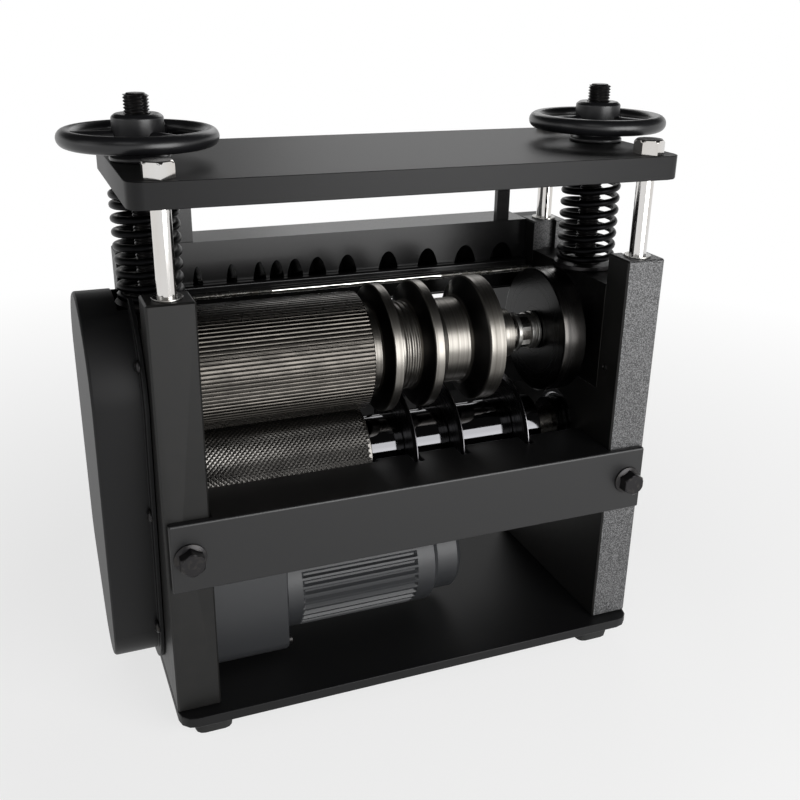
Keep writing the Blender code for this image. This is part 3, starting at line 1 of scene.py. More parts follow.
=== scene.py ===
"""Looks of the cable stripping machine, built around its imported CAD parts.

Sizes are in millimetres in the machine's own frame: X along the shafts, the cable goes in at +Y and
comes out at -Y, Z up from the bench. Bench.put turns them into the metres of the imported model.
"""

import logging
import math
from dataclasses import dataclass
from enum import Enum, IntEnum

import bmesh
import bpy
import numpy as np
from mathutils import Matrix, Vector


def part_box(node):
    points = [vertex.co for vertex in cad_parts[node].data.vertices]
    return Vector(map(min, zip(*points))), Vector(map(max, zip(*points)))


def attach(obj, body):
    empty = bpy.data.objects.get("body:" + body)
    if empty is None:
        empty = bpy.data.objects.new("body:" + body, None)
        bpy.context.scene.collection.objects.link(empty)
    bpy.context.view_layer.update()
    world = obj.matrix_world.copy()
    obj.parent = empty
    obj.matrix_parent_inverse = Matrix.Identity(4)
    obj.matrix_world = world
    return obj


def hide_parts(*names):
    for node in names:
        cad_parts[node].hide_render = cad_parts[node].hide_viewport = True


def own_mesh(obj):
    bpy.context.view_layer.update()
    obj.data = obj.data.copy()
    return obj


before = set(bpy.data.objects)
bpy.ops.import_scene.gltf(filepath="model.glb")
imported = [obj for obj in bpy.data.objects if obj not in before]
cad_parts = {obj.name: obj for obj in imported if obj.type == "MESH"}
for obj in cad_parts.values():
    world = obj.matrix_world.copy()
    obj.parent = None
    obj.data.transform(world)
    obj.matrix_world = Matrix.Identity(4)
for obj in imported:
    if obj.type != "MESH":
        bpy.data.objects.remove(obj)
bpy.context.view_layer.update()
LOG = logging.getLogger("cable_stripper")

Tree, Node, Socket = bpy.types.NodeTree, bpy.types.Node, bpy.types.NodeSocket
Material, Mesh, Object = bpy.types.Material, bpy.types.Mesh, bpy.types.Object

MM = 0.001
FULL_TURN = 2 * math.pi
SIDES = (("left", -1), ("right", 1))
ENDS = (("front", -1), ("rear", 1))

# Sizes that several sub-assemblies share; an axis along X is given by its Y and Z
SHAFT_SET_BACK = sum(corner[1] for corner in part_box("upper_shaft")) / 2 / MM
UPPER_AXIS = (0.0, 244.4)
LOWER_AXIS = (0.0, 164.4)
MOTOR_AXIS = (0.0, 70.0)
SHAFT_ENDS = (-203.3, 165.3)
SHAFT_RADIUS = 12.5
SHAFT_CHAMFER = 1.0
BORE = 12.8
FLANGE_RADIUS = 47.0
CASTING_INNER = 150.0
CASTING_MIDDLE = 165.0
CASTING_TOP = 315.6
POST_Y = 67.5
PLATE_BOTTOM = 370.6
PLATE_TOP = 386.6
GUIDE_HALF = 149.7
SEAT_GAP = 0.3

# Rounding of edges, from machined steel to bent sheet and thick plate
MOULD_ARRIS = 0.3
FINE_ARRIS = 0.5
SHEET_ARRIS = 0.6
SOFT_ARRIS = 0.8
BAR_ARRIS = 1.5

# Rounding of turned corners, from a ground cutting edge to a moulded hub
HONED_EDGE = 0.08
TIGHT_EDGE = 0.2
CRISP_EDGE = 0.3
EASED_EDGE = 0.4
SOFT_EDGE = 0.5
SLEEVE_EDGE = 0.6
HUB_EDGE = 0.9


# ---------------------------------------------------------------- shapes


class Axis(Enum):
    """The axis that a piece is turned about."""

    X = "X"
    Y = "Y"
    Z = "Z"


class Facets(IntEnum):
    """Facets round a turned piece: more for a larger one."""

    PIN = 20
    SOCKET = 24
    SCREW = 28
    ROD = 32
    KNOB = 48
    BAR = 64
    RING = 72
    WHEEL = 96
    ROLLER = 128
    BLADE = 144


@dataclass(frozen=True)
class Skin:
    """Points of a surface in millimetres, and its faces as rows of point numbers."""

    points: np.ndarray
    faces: list


def laid(axis: Axis, along: np.ndarray, first: np.ndarray, second: np.ndarray) -> np.ndarray:
    """Put places along an axis and across it into X, Y, Z order.

    Args:
        axis: the axis that they lie along.
        along: places along the axis.
        first: places along the first of the two other axes.
        second: places along the second of them.

    Returns:
        An array with one more dimension, of length 3.
    """
    orders = {Axis.X: (along, first, second), Axis.Y: (first, along, second), Axis.Z: (first, second, along)}
    return np.stack(np.broadcast_arrays(*orders[axis]), axis=-1)


def grid_faces(rows: int, columns: int, wrap_rows: bool, wrap_columns: bool) -> np.ndarray:
    """Number the four corners of every cell of a grid of points.

    Args:
        rows: count of points the first way.
        columns: count of points the second way.
        wrap_rows: whether the last row joins the first.
        wrap_columns: whether the last column joins the first.

    Returns:
        One row of four point numbers for each cell.
    """
    i, j = np.meshgrid(
        np.arange(rows if wrap_rows else rows - 1),
        np.arange(columns if wrap_columns else columns - 1),
        indexing="ij",
    )
    after_i, after_j = (i + 1) % rows, (j + 1) % columns
    corners = ((i, j), (i, after_j), (after_i, after_j), (after_i, j))
    return np.stack([(row * columns + column).ravel() for row, column in corners], axis=1)


def joined(*skins: Skin) -> Skin:
    """Put several surfaces into one, with the point numbers of each moved past those before it.

    Args:
        skins: the surfaces.

    Returns:
        One surface.
    """
    starts = np.cumsum([0] + [len(skin.points) for skin in skins[:-1]])
    faces = [face + start for skin, start in zip(skins, starts) for face in skin.faces]
    return Skin(np.concatenate([skin.points for skin in skins]), faces)


def broken_corners(profile: list, size: float, steps: int, ring: bool) -> np.ndarray:
    """Round every corner of a profile.

    Each corner P becomes the curve (1-t)^2 A + 2t(1-t) P + t^2 B, where A and B lie on the two
    sides next to it, at the size given but at most 0.45 of that side away.

    Args:
        profile: (place along the axis, radius) pairs.
        size: how far from the corner the rounding starts.
        steps: points along each rounding, less one.
        ring: whether the last point joins the first.

    Returns:
        The new profile, one pair a row.
    """
    most_of_side, least_length = 0.45, 1e-9
    points = np.array(profile, float)

    def towards(other: np.ndarray) -> np.ndarray:
        """The point on the way to another that the rounding starts from."""
        length = np.maximum(np.linalg.norm(other - points, axis=1, keepdims=True), least_length)
        return points + (other - points) * np.minimum(size / length, most_of_side)

    t = np.linspace(0, 1, steps + 1)[None, :, None]
    start, end = (towards(np.roll(points, shift, axis=0))[:, None] for shift in (1, -1))
    curves = (1 - t) ** 2 * start + 2 * t * (1 - t) * points[:, None] + t**2 * end
    if ring:
        return curves.reshape(-1, 2)
    return np.concatenate([points[:1], curves[1:-1].reshape(-1, 2), points[-1:]])


def around(axis: Axis, stations: np.ndarray, radii: np.ndarray, centre: tuple, ring: bool = False) -> Skin:
    """A surface about an axis: the point of row i at angle a is (x_i, r_ia cos a, r_ia sin a).

    Args:
        axis: the axis.
        stations: the rows' places along the axis.
        radii: a row for each station, with the radius at every angle.
        centre: the axis's place on the two other axes.
        ring: whether the last row joins the first, as in a bored roller.

    Returns:
        The surface.
    """
    rows, segments = radii.shape
    angle = np.arange(segments) / segments * FULL_TURN
    places = np.asarray(stations, float)[:, None]
    points = laid(axis, places, centre[0] + radii * np.cos(angle), centre[1] + radii * np.sin(angle))
    return Skin(points.reshape(-1, 3), [grid_faces(rows, segments, ring, True)])


def turned(axis: Axis, rows: np.ndarray, centre: tuple, segments: int, ring: bool) -> Skin:
    """A sharp-edged turned piece, from (place, radius) rows that are closed already."""
    return around(axis, rows[:, 0], np.tile(rows[:, 1:], segments), centre, ring)


def lathe(
    axis: Axis, profile: list, centre: tuple, rounding: float, segments: int = Facets.BAR,
    bore: float = 0.0, steps: int = 3,
) -> Skin:
    """A turned piece with rounded corners: the profile turned about an axis and closed on its bore.

    Args:
        axis: the axis.
        profile: (place, radius) pairs from end to end.
        centre: the axis's place on the two other axes.
        rounding: how far from each corner the rounding starts.
        segments: facets round the turn.
        bore: radius of the hole through it, or 0 for a solid bar.
        steps: points along each rounding, less one.

    Returns:
        The closed surface.
    """
    closed = [(profile[0][0], bore), *profile, (profile[-1][0], bore)]
    return turned(axis, broken_corners(closed, rounding, steps, bore > 0), centre, segments, bore > 0)


def roller(profile: list, centre: tuple, rounding: float = SOFT_EDGE) -> Skin:
    """A bored roller along X, turned finely enough to look round from near."""
    return lathe(Axis.X, profile, centre, rounding, Facets.ROLLER, BORE)


def fluted(ends: tuple, radius: float, count: int, depth: float, centre: tuple) -> Skin:
    """A bored roller with flutes along it.

    The radius at angle a is R - depth * s, where s is a raised cosine that reaches 1 at 0.72 of
    each pitch, the bottom of the groove, and is 0 from 0.26 of the pitch away, on the land. Both
    ends have a chamfer, into which 0.6 of the flutes' depth runs out.

    Args:
        ends: left and right end.
        radius: radius over the lands.
        count: number of flutes.
        depth: depth of a flute.
        centre: Y and Z of its axis.

    Returns:
        The surface.
    """
    samples, bottom, half_width, chamfer, run_out = 8, 0.72, 0.26, 0.7, 0.6
    share = (np.arange(count * samples) % samples) / samples
    groove = np.clip(1 - np.abs(share - bottom) / half_width, 0, 1)
    cut = depth * (0.5 - 0.5 * np.cos(math.pi * groove))
    left, right = ends
    stations = [left, left, left + chamfer, right - chamfer, right, right]
    hole, edge, face = np.full_like(cut, BORE), radius - chamfer - run_out * cut, radius - cut
    return around(Axis.X, stations, np.stack([hole, edge, face, face, edge, hole]), centre, ring=True)


def knurled(ends: tuple, radius: float, pitch: float, depth: float, centre: tuple) -> Skin:
    """The face of a roller with a diamond knurl, from its left end to its right end.

    On a grid of half pitches the points with even i + j lie at the bottom of a groove and the
    others are the tips of the diamonds. Every cell is split along its two low corners, so that
    the grooves run straight round both ways.

    Args:
        ends: left and right end.
        radius: radius over the tips.
        pitch: pitch of the diamonds, along and round.
        depth: depth of the grooves.
        centre: Y and Z of the axis.

    Returns:
        The surface, which closes on smooth collars of the groove's radius.
    """
    along = 2 * int((ends[1] - ends[0]) / pitch) + 1
    columns = 2 * round(FULL_TURN * radius / pitch)
    i, j = np.meshgrid(np.arange(along), np.arange(columns), indexing="ij")
    low = ((i + j) % 2 == 0) | (i == 0) | (i == along - 1)
    skin = around(Axis.X, np.linspace(*ends, along), radius - depth * low, centre)
    quads = skin.faces[0]
    even = ((quads[:, 0] // columns + quads[:, 0] % columns) % 2 == 0)[:, None]
    first = np.where(even, quads[:, [0, 1, 2]], quads[:, [0, 1, 3]])
    second = np.where(even, quads[:, [0, 2, 3]], quads[:, [1, 2, 3]])
    return Skin(skin.points, [first, second])


def threaded(axis: Axis, ends: tuple, radius: float, pitch: float, centre: tuple, sides: int) -> Skin:
    """A threaded rod: the radius at place x and angle a is R - d * w(x / pitch + a / 2 pi).

    w is a triangle wave between 0 and 1 with a flat of a tenth of the pitch at each turn, and d
    is 0.55 of the pitch, as on a metric thread.

    Args:
        axis: the axis.
        ends: where the thread starts and stops.
        radius: outer radius.
        pitch: pitch of the thread.
        centre: the axis's place on the two other axes.
        sides: facets round the turn.

    Returns:
        The surface, closed at both ends.
    """
    rows_per_turn, depth_share, steepness = 6, 0.55, 1.25
    x = np.linspace(*ends, max(int((ends[1] - ends[0]) / pitch * rows_per_turn), 2))
    phase = (x[:, None] / pitch + np.arange(sides) / sides) % 1
    wave = np.clip(np.abs(2 * phase - 1) * steepness - (steepness - 1) / 2, 0, 1)
    radii = np.pad(radius - depth_share * pitch * wave, ((1, 1), (0, 0)))
    return around(axis, np.pad(x, 1, mode="edge"), radii, centre)


def hexagon_head(axis: Axis, seat: float, top: float, flats: float, centre: tuple) -> Skin:
    """A hexagon head whose corners a cone cuts back at the top.

    The radius at angle a is the lesser of the hexagon's, flats / 2 / cos(a from the flat's
    middle), and the cone's, which falls to 0.95 of half the flats at the top.

    Args:
        axis: the axis.
        seat: where the head starts.
        top: where it ends, which may be lower than the seat.
        flats: size across the flats.
        centre: the axis's place on the two other axes.

    Returns:
        The surface, closed at both ends.
    """
    segments = Facets.WHEEL
    height_shares = np.array([0, 0, 0.80, 0.87, 0.94, 1, 1])
    cone_shares = np.array([0, 1.2, 1.16, 1.11, 1.04, 0.95, 0])[:, None]
    angle = np.arange(segments) / segments * FULL_TURN
    from_flat = (angle + math.pi / 6) % (math.pi / 3) - math.pi / 6
    radii = np.minimum(flats / 2 / np.cos(from_flat), flats / 2 * cone_shares)
    return around(axis, seat + (top - seat) * height_shares, radii, centre)


def wire(path: np.ndarray, outward: np.ndarray, radius: float, sides: int = 14) -> Skin:
    """A round wire: at each point of the path a circle in the plane across it.

    The circle's point at angle a is P + r (cos a * N + sin a * T x N), with N the outward
    direction, which is square to the path's tangent T.

    Args:
        path: points along the wire's middle.
        outward: a unit direction square to the path at each point.
        radius: radius of the wire.
        sides: facets round the wire.

    Returns:
        The surface, closed at both ends.
    """
    tangent = np.gradient(path, axis=0)
    tangent /= np.linalg.norm(tangent, axis=1, keepdims=True)
    other = np.cross(tangent, outward)
    angle = (np.arange(sides) / sides * FULL_TURN)[None, :, None]
    rings = path[:, None] + radius * (np.cos(angle) * outward[:, None] + np.sin(angle) * other[:, None])
    start, end = (np.repeat(path[place][None, None], sides, axis=1) for place in (0, -1))
    points = np.concatenate([start, rings, end])
    return Skin(points.reshape(-1, 3), [grid_faces(len(points), sides, False, True)])


def block(low: tuple, high: tuple) -> Skin:
    """A plain box between two corners.

    Args:
        low: its corner with the least X, Y and Z.
        high: the opposite corner.

    Returns:
        The closed surface.
    """
    pick = np.array([(x, y, z) for x in (0, 1) for y in (0, 1) for z in (0, 1)])
    faces = [(0, 1, 3, 2), (4, 6, 7, 5), (0, 4, 5, 1), (2, 3, 7, 6), (0, 2, 6, 4), (1, 5, 7, 3)]
    return Skin(np.array([low, high], float)[pick, np.arange(3)], [np.array(faces)])


def swung(skin: Skin, angle: float, centre: tuple) -> Skin:
    """Turn a surface about the upright line through a centre.

    Args:
        skin: the surface.
        angle: the turn in radians, anticlockwise from above.
        centre: X and Y of the line.

    Returns:
        The turned surface.
    """
    cos, sin = math.cos(angle), math.sin(angle)
    turn = np.array([[cos, sin, 0], [-sin, cos, 0], [0, 0, 1]])
    middle = np.array([*centre, 0])
    return Skin((skin.points - middle) @ turn + middle, skin.faces)


@dataclass(frozen=True)
class ScrewHead:
    """A round screw head with a plain round socket; heights count from the face that it sits on."""

    radius: float
    edge: float
    dome: tuple
    top: float
    socket: float
    socket_floor: float
    rounding: float
    segments: int = Facets.SCREW
    sunk: float = 0.3
    socket_taper: float = 0.2

    def skin(self, axis: Axis, face: float, sense: int, centre: tuple) -> Skin:
        """The head on a face.

        Args:
            axis: the screw's axis.
            face: the face's place along it.
            sense: 1 where the head points along the axis, -1 where it points back.
            centre: the axis's place on the two other axes.

        Returns:
            The closed surface.
        """
        outline = [(-self.sunk, self.radius), (self.edge, self.radius), *self.dome, (self.top, self.socket)]
        outline.append((self.socket_floor, self.socket - self.socket_taper))
        profile = [(face + sense * height, width) for height, width in outline]
        return lathe(axis, profile, centre, self.rounding, self.segments)


COVER_SCREW = ScrewHead(
    radius=4.4, edge=0.7, dome=((1.8, 3.5), (2.3, 2.4)), top=2.4, socket=1.7, socket_floor=1.2,
    rounding=TIGHT_EDGE, segments=Facets.ROD,
)
GEARBOX_SCREW = ScrewHead(
    radius=3.6, edge=3.2, dome=(), top=3.2, socket=1.7, socket_floor=1.4, rounding=CRISP_EDGE, sunk=0.4,
    socket_taper=0.1,
)
PANEL_SCREW = ScrewHead(
    radius=3.0, edge=0.9, dome=((1.7, 2.1),), top=1.7, socket=1.2, socket_floor=0.9, rounding=0.25,
)


# ---------------------------------------------------------------- finishes


@dataclass(frozen=True)
class Mottle:
    """Patches of a second colour and roughness, of a size in millimetres: random tone, and on the hammer
    enamel painted glints.
    """

    colour: str
    roughness: float
    size: float
    low: float = 0.40
    high: float = 0.62
    stretch: tuple = (1.0, 1.0, 1.0)


@dataclass(frozen=True)
class PaintedFlankShade:
    """Painted shade: a darker colour that stays between two radii, in millimetres, and fades out beyond them.
    """

    colour: str
    roughness: float
    inner: float
    outer: float
    fade: float


@dataclass(frozen=True)
class Grain:
    """Fine noise relief of a size and depth in millimetres, stretched along the axes that are small."""

    size: float
    depth: float
    stretch: tuple = (1.0, 1.0, 1.0)


def linear(code: str) -> tuple:
    """Turn an sRGB colour into linear light.

    Args:
        code: the colour as # and six hex digits.

    Returns:
        Linear red, green, blue and an alpha of 1.
    """
    values = np.array([int(code[i : i + 2], 16) for i in (1, 3, 5)]) / 255
    rgb = np.where(values <= 0.04045, values / 12.92, ((values + 0.055) / 1.055) ** 2.4)
    return (*(float(value) for value in rgb), 1.0)


def add_node(tree: Tree, kind: str, settings: dict, links: dict) -> Node:
    """Add one node.

    Args:
        tree: the tree that it goes into.
        kind: Blender's name of the node's class, without ShaderNode before it.
        settings: values of its sockets, by name or number, and of its own settings, by name.
        links: the sockets of other nodes that feed its sockets, by name or number.

    Returns:
        The node.
    """
    node = tree.nodes.new("ShaderNode" + kind)
    for key, value in settings.items():
        if isinstance(key, str) and hasattr(node, key):
            setattr(node, key, value)
        else:
            node.inputs[key].default_value = value
    for key, source in links.items():
        tree.links.new(source, node.inputs[key])
    return node


@dataclass(frozen=True)
class Finish:
    """A surface: its real material, its colour and gloss, and what varies over it.

    An axis (Y, Z in millimetres) makes its patterns follow the rings that a lathe leaves about
    that axis: they read the place along X and the distance from the axis.
    """

    name: str
    colour: str
    metallic: float
    roughness: float
    mottle: Mottle | None = None
    grain: Grain | None = None
    axis: tuple | None = None
    specular: float = 0.5
    painted_flank_shade: PaintedFlankShade | None = None

    def coordinates(self, tree: Tree) -> Socket:
        """Find the places that the patterns read.

        Args:
            tree: the material's tree.

        Returns:
            A socket with them in metres.
        """
        place = add_node(tree, "TexCoord", {}, {}).outputs["Object"]
        if self.axis is None:
            return place
        middle = (0, -(self.axis[0] + SHAFT_SET_BACK) * MM, -self.axis[1] * MM)
        about = add_node(tree, "Mapping", {"Location": middle}, {"Vector": place}).outputs[0]
        x, y, z = add_node(tree, "SeparateXYZ", {}, {"Vector": about}).outputs
        across = add_node(tree, "CombineXYZ", {}, {"Y": y, "Z": z}).outputs[0]
        radius = add_node(tree, "VectorMath", {"operation": "LENGTH"}, {0: across}).outputs["Value"]
        return add_node(tree, "CombineXYZ", {}, {"X": x, "Y": radius}).outputs[0]

    def noise(self, tree: Tree, size: float, stretch: tuple) -> Socket:
        """Add a noise with values from 0 to 1.

        Args:
            tree: the material's tree.
            size: size of its features in millimetres.
            stretch: how much faster it varies along X, Y and Z.

        Returns:
            The socket with its value.
        """
        places = {"Vector": self.coordinates(tree)}
        scaled = add_node(tree, "Mapping", {"Scale": stretch}, places).outputs[0]
        settings = {"Scale": 1 / (size * MM), "Detail": 3.0}
        return add_node(tree, "TexNoise", settings, {"Vector": scaled}).outputs[0]

    def material(self) -> Material:
        """Make the Blender material on first use.

        Returns:
            The material.
        """
        known = bpy.data.materials.get(self.name)
        if known:
            return known
        made = bpy.data.materials.new(self.name)
        made.use_nodes = True
        tree = made.node_tree
        shader = tree.nodes["Principled BSDF"]
        for name, value in (
            ("Base Color", linear(self.colour)), ("Metallic", self.metallic), ("Roughness", self.roughness),
            ("Specular IOR Level", self.specular),
        ):
            shader.inputs[name].default_value = value
        if self.mottle:
            share = self.patches(tree)
            self.mix_in(tree, shader, share, self.mottle.colour, self.mottle.roughness)
        # Painted shade, darker on the flanks of the grooved rollers
        if self.painted_flank_shade:
            share = self.flank_shade_share(tree)
            self.mix_in(tree, shader, share, self.painted_flank_shade.colour, self.painted_flank_shade.roughness)
        if self.grain:
            height = self.noise(tree, self.grain.size, self.grain.stretch)
            bump = add_node(tree, "Bump", {"Distance": self.grain.depth * MM}, {"Height": height})
            tree.links.new(bump.outputs[0], shader.inputs["Normal"])
        return made

    def patches(self, tree: Tree) -> Socket:
        """Find how much of the mottle's second surface shows: it does where the noise is high.

        Args:
            tree: the material's tree.

        Returns:
            A socket that is 0 on the first surface and 1 on the second.
        """
        value = self.noise(tree, self.mottle.size, self.mottle.stretch)
        settings = {"From Min": self.mottle.low, "From Max": self.mottle.high}
        return add_node(tree, "MapRange", settings, {"Value": value}).outputs[0]

    def flank_shade_share(self, tree: Tree) -> Socket:
        """Find where the painted shade lies: where the distance from the axis is between its radii.

        Args:
            tree: the material's tree.

        Returns:
            A socket that is 1 on the painted shade and falls to 0 over its fade.
        """
        # oxide here is the painted shade on the flanks
        oxide = self.painted_flank_shade
        middle, half = (oxide.inner + oxide.outer) / 2 * MM, (oxide.outer - oxide.inner) / 2 * MM
        _x, radius, _z = add_node(tree, "SeparateXYZ", {}, {"Vector": self.coordinates(tree)}).outputs
        off = add_node(tree, "Math", {"operation": "SUBTRACT", 1: middle}, {0: radius}).outputs[0]
        far = add_node(tree, "Math", {"operation": "ABSOLUTE"}, {0: off}).outputs[0]
        settings = {"From Min": half - oxide.fade * MM, "From Max": half, "To Min": 1.0, "To Max": 0.0}
        return add_node(tree, "MapRange", settings, {"Value": far}).outputs[0]

    @staticmethod
    def mix_in(tree: Tree, shader: Node, share: Socket, colour: str, roughness: float) -> None:
        """Mix a second colour and roughness into what the shader has so far.

        Args:
            tree: the material's tree.
            shader: its shader.
            share: how much of the second surface shows.
            colour: the second surface's colour.
            roughness: its roughness.
        """
        for name, kind, second, (first_slot, second_slot, result) in (
            ("Base Color", "RGBA", linear(colour), (6, 7, 2)),
            ("Roughness", "FLOAT", roughness, (2, 3, 0)),
        ):
            socket = shader.inputs[name]
            mix = add_node(tree, "Mix", {"data_type": kind, second_slot: second}, {0: share})
            if socket.is_linked:
                tree.links.new(socket.links[0].from_socket, mix.inputs[first_slot])
            else:
                mix.inputs[first_slot].default_value = socket.default_value
            tree.links.new(mix.outputs[result], socket)


# Machined cast iron under satin black enamel: even, a little brown where it is rubbed
SIDE_ENAMEL = Finish(
    "satin_enamel_on_machined_iron", "#0d0d0c", 0, 0.44, Mottle("#121110", 0.50, 9, 0.40, 0.80),
    Grain(0.9, 0.010), specular=0.32,
)
# Hammer-finish enamel, sprayed thick: bumped beads with pale patches painted on as glints, drawn coarser than
# life to show
HAMMER_ENAMEL_PAINTED_GLINTS = Finish(
    "hammer_enamel_painted_glints", "#1b1b1c", 0, 0.34, Mottle("#747475", 0.42, 0.7, 0.40, 0.68), Grain(1.0, 0.30),
)
# Powder coat on steel angle: satin, with a very fine orange peel
BAR_POWDER = Finish("satin_powder_coat", "#0f0f10", 0, 0.38, None, Grain(0.7, 0.008))
# Powder coat on plate and sheet, a little rougher
SHEET_POWDER = Finish("fine_texture_powder_coat", "#0f0f10", 0, 0.48, None, Grain(0.6, 0.02), specular=0.25)
# Gloss enamel on flat stock: soft clear reflections
GLOSS_ENAMEL = Finish(
    "gloss_black_enamel", "#09090a", 0, 0.24, Mottle("#0c0b0b", 0.28, 20, 0.2, 0.9), specular=0.38
)
# Black oxide on steel: oily, dark and half bright
BLACK_OXIDE = Finish("black_oxide_on_steel", "#2c2b2c", 0.8, 0.32, Mottle("#3a3836", 0.44, 3, 0.5, 0.7))
# Hard chrome on ground bar: a clear mirror, faintly clouded along its length
CHROME = Finish(
    "hard_chrome_on_ground_bar", "#dadada", 1, 0.09, Mottle("#c9c2ba", 0.12, 22, 0.2, 0.9, (1, 1, 0.3))
)
# Drawn bright steel rod, polished by its die
BRIGHT_ROD = Finish("bright_drawn_rod", "#dcdad6", 1, 0.09)
# Zinc-plated machine screws
BRIGHT_STEEL = Finish("zinc_plated_steel", "#b4b3b0", 1, 0.22, Mottle("#8f8c86", 0.34, 6, 0.5, 0.72))
# Bright steel nut and rings, turned and left plain
NUT_STEEL = Finish("plain_turned_steel", "#a5a4a1", 1, 0.34, Mottle("#7f7d79", 0.40, 3, 0.4, 0.7))
# Oil-hardened spring wire, blackened
SPRING_WIRE = Finish("blackened_spring_wire", "#121213", 1, 0.38)
# Milled tool steel of the feed roller: dark grey and oily, with bright worn lands
FLUTED_STEEL = Finish(
    "milled_tool_steel", "#4f4c48", 1, 0.24, Mottle("#3d3b38", 0.32, 6, 0.35, 0.75, (0.5, 1, 1)),
    Grain(0.5, 0.004, (0.5, 1, 1)),
)
# Tool steel turned on a lathe: rings about its axis, bright rims and cores, flanks darkened by painted shade
TURNED_STEEL = Finish(
    "lathe_turned_tool_steel", "#7f7c77", 1, 0.32, Mottle("#64615c", 0.40, 2.0, 0.38, 0.68),
    Grain(0.4, 0.006), UPPER_AXIS, painted_flank_shade=PaintedFlankShade("#2b2a29", 0.30, 33.2, 46.6, 1.4),
)
# The same steel, blackened: the end roller is almost black but for its rim
BLACKENED_STEEL = Finish(
    "blackened_turned_steel", "#1d1d1d", 1, 0.24, Mottle("#161616", 0.30, 4, 0.30, 0.80), axis=UPPER_AXIS
)
# The rim of the end roller, where handling has worn the blackening to satin grey
WORN_RIM_STEEL = Finish(
    "worn_blackened_steel", "#4d4b49", 1, 0.20, Mottle("#343332", 0.30, 5, 0.38, 0.66), axis=UPPER_AXIS
)
# Turned shafting, ground after turning
SHAFT_STEEL = Finish("ground_shaft_steel", "#7c7975", 1, 0.22, Mottle("#5a5753", 0.32, 5, 0.45, 0.65))
# Blackened hardened steel, diamond knurled: dark and oily, bright only at the tips
KNURL_STEEL = Finish("blackened_knurled_steel", "#6f6d6a", 1, 0.25, Mottle("#53514f", 0.32, 20, 0.35, 0.70))
# Gloss blackened sleeves: near mirror, almost black
SLEEVE_STEEL = Finish("polished_blackened_steel", "#505052", 1, 0.06)
# Ground tool steel discs: bright with fine rings
BLADE_STEEL = Finish(
    "ground_blade_steel", "#6f6e70", 1, 0.22, Mottle("#545355", 0.3, 2.0, 0.42, 0.6), axis=LOWER_AXIS
)
# Case-hardened gears: plain machined grey
GEAR_STEEL = Finish("hobbed_gear_steel", "#7f7e7c", 1, 0.38, Mottle("#5b5855", 0.46, 6, 0.45, 0.65))
# Ground bearing rings
BEARING_STEEL = Finish("ground_bearing_steel", "#b7b7b9", 1, 0.18)
# Cast and machined slider blocks, oiled
SLIDER_STEEL = Finish("milled_cast_iron", "#302f2e", 1, 0.40, Mottle("#282726", 0.46, 9), Grain(0.6, 0.02))
# Machine enamel on die-cast aluminium
MOTOR_ENAMEL = Finish("charcoal_machine_enamel", "#2b2c2e", 0, 0.46, None, Grain(0.8, 0.03))
# Moulded nitrile rubber: dull, with a faint grain
RUBBER = Finish("moulded_rubber", "#161616", 0, 0.82, None, Grain(0.7, 0.05))
# Injection-moulded phenolic and ABS: soft gloss
BLACK_PLASTIC = Finish("moulded_black_phenolic", "#131315", 0, 0.32, None, Grain(0.9, 0.01))
RED_PLASTIC = Finish("moulded_red_abs", "#b3201b", 0, 0.28)
GREEN_PLASTIC = Finish("moulded_green_abs", "#1e7a3c", 0, 0.28)


# ---------------------------------------------------------------- the bench where pieces are made


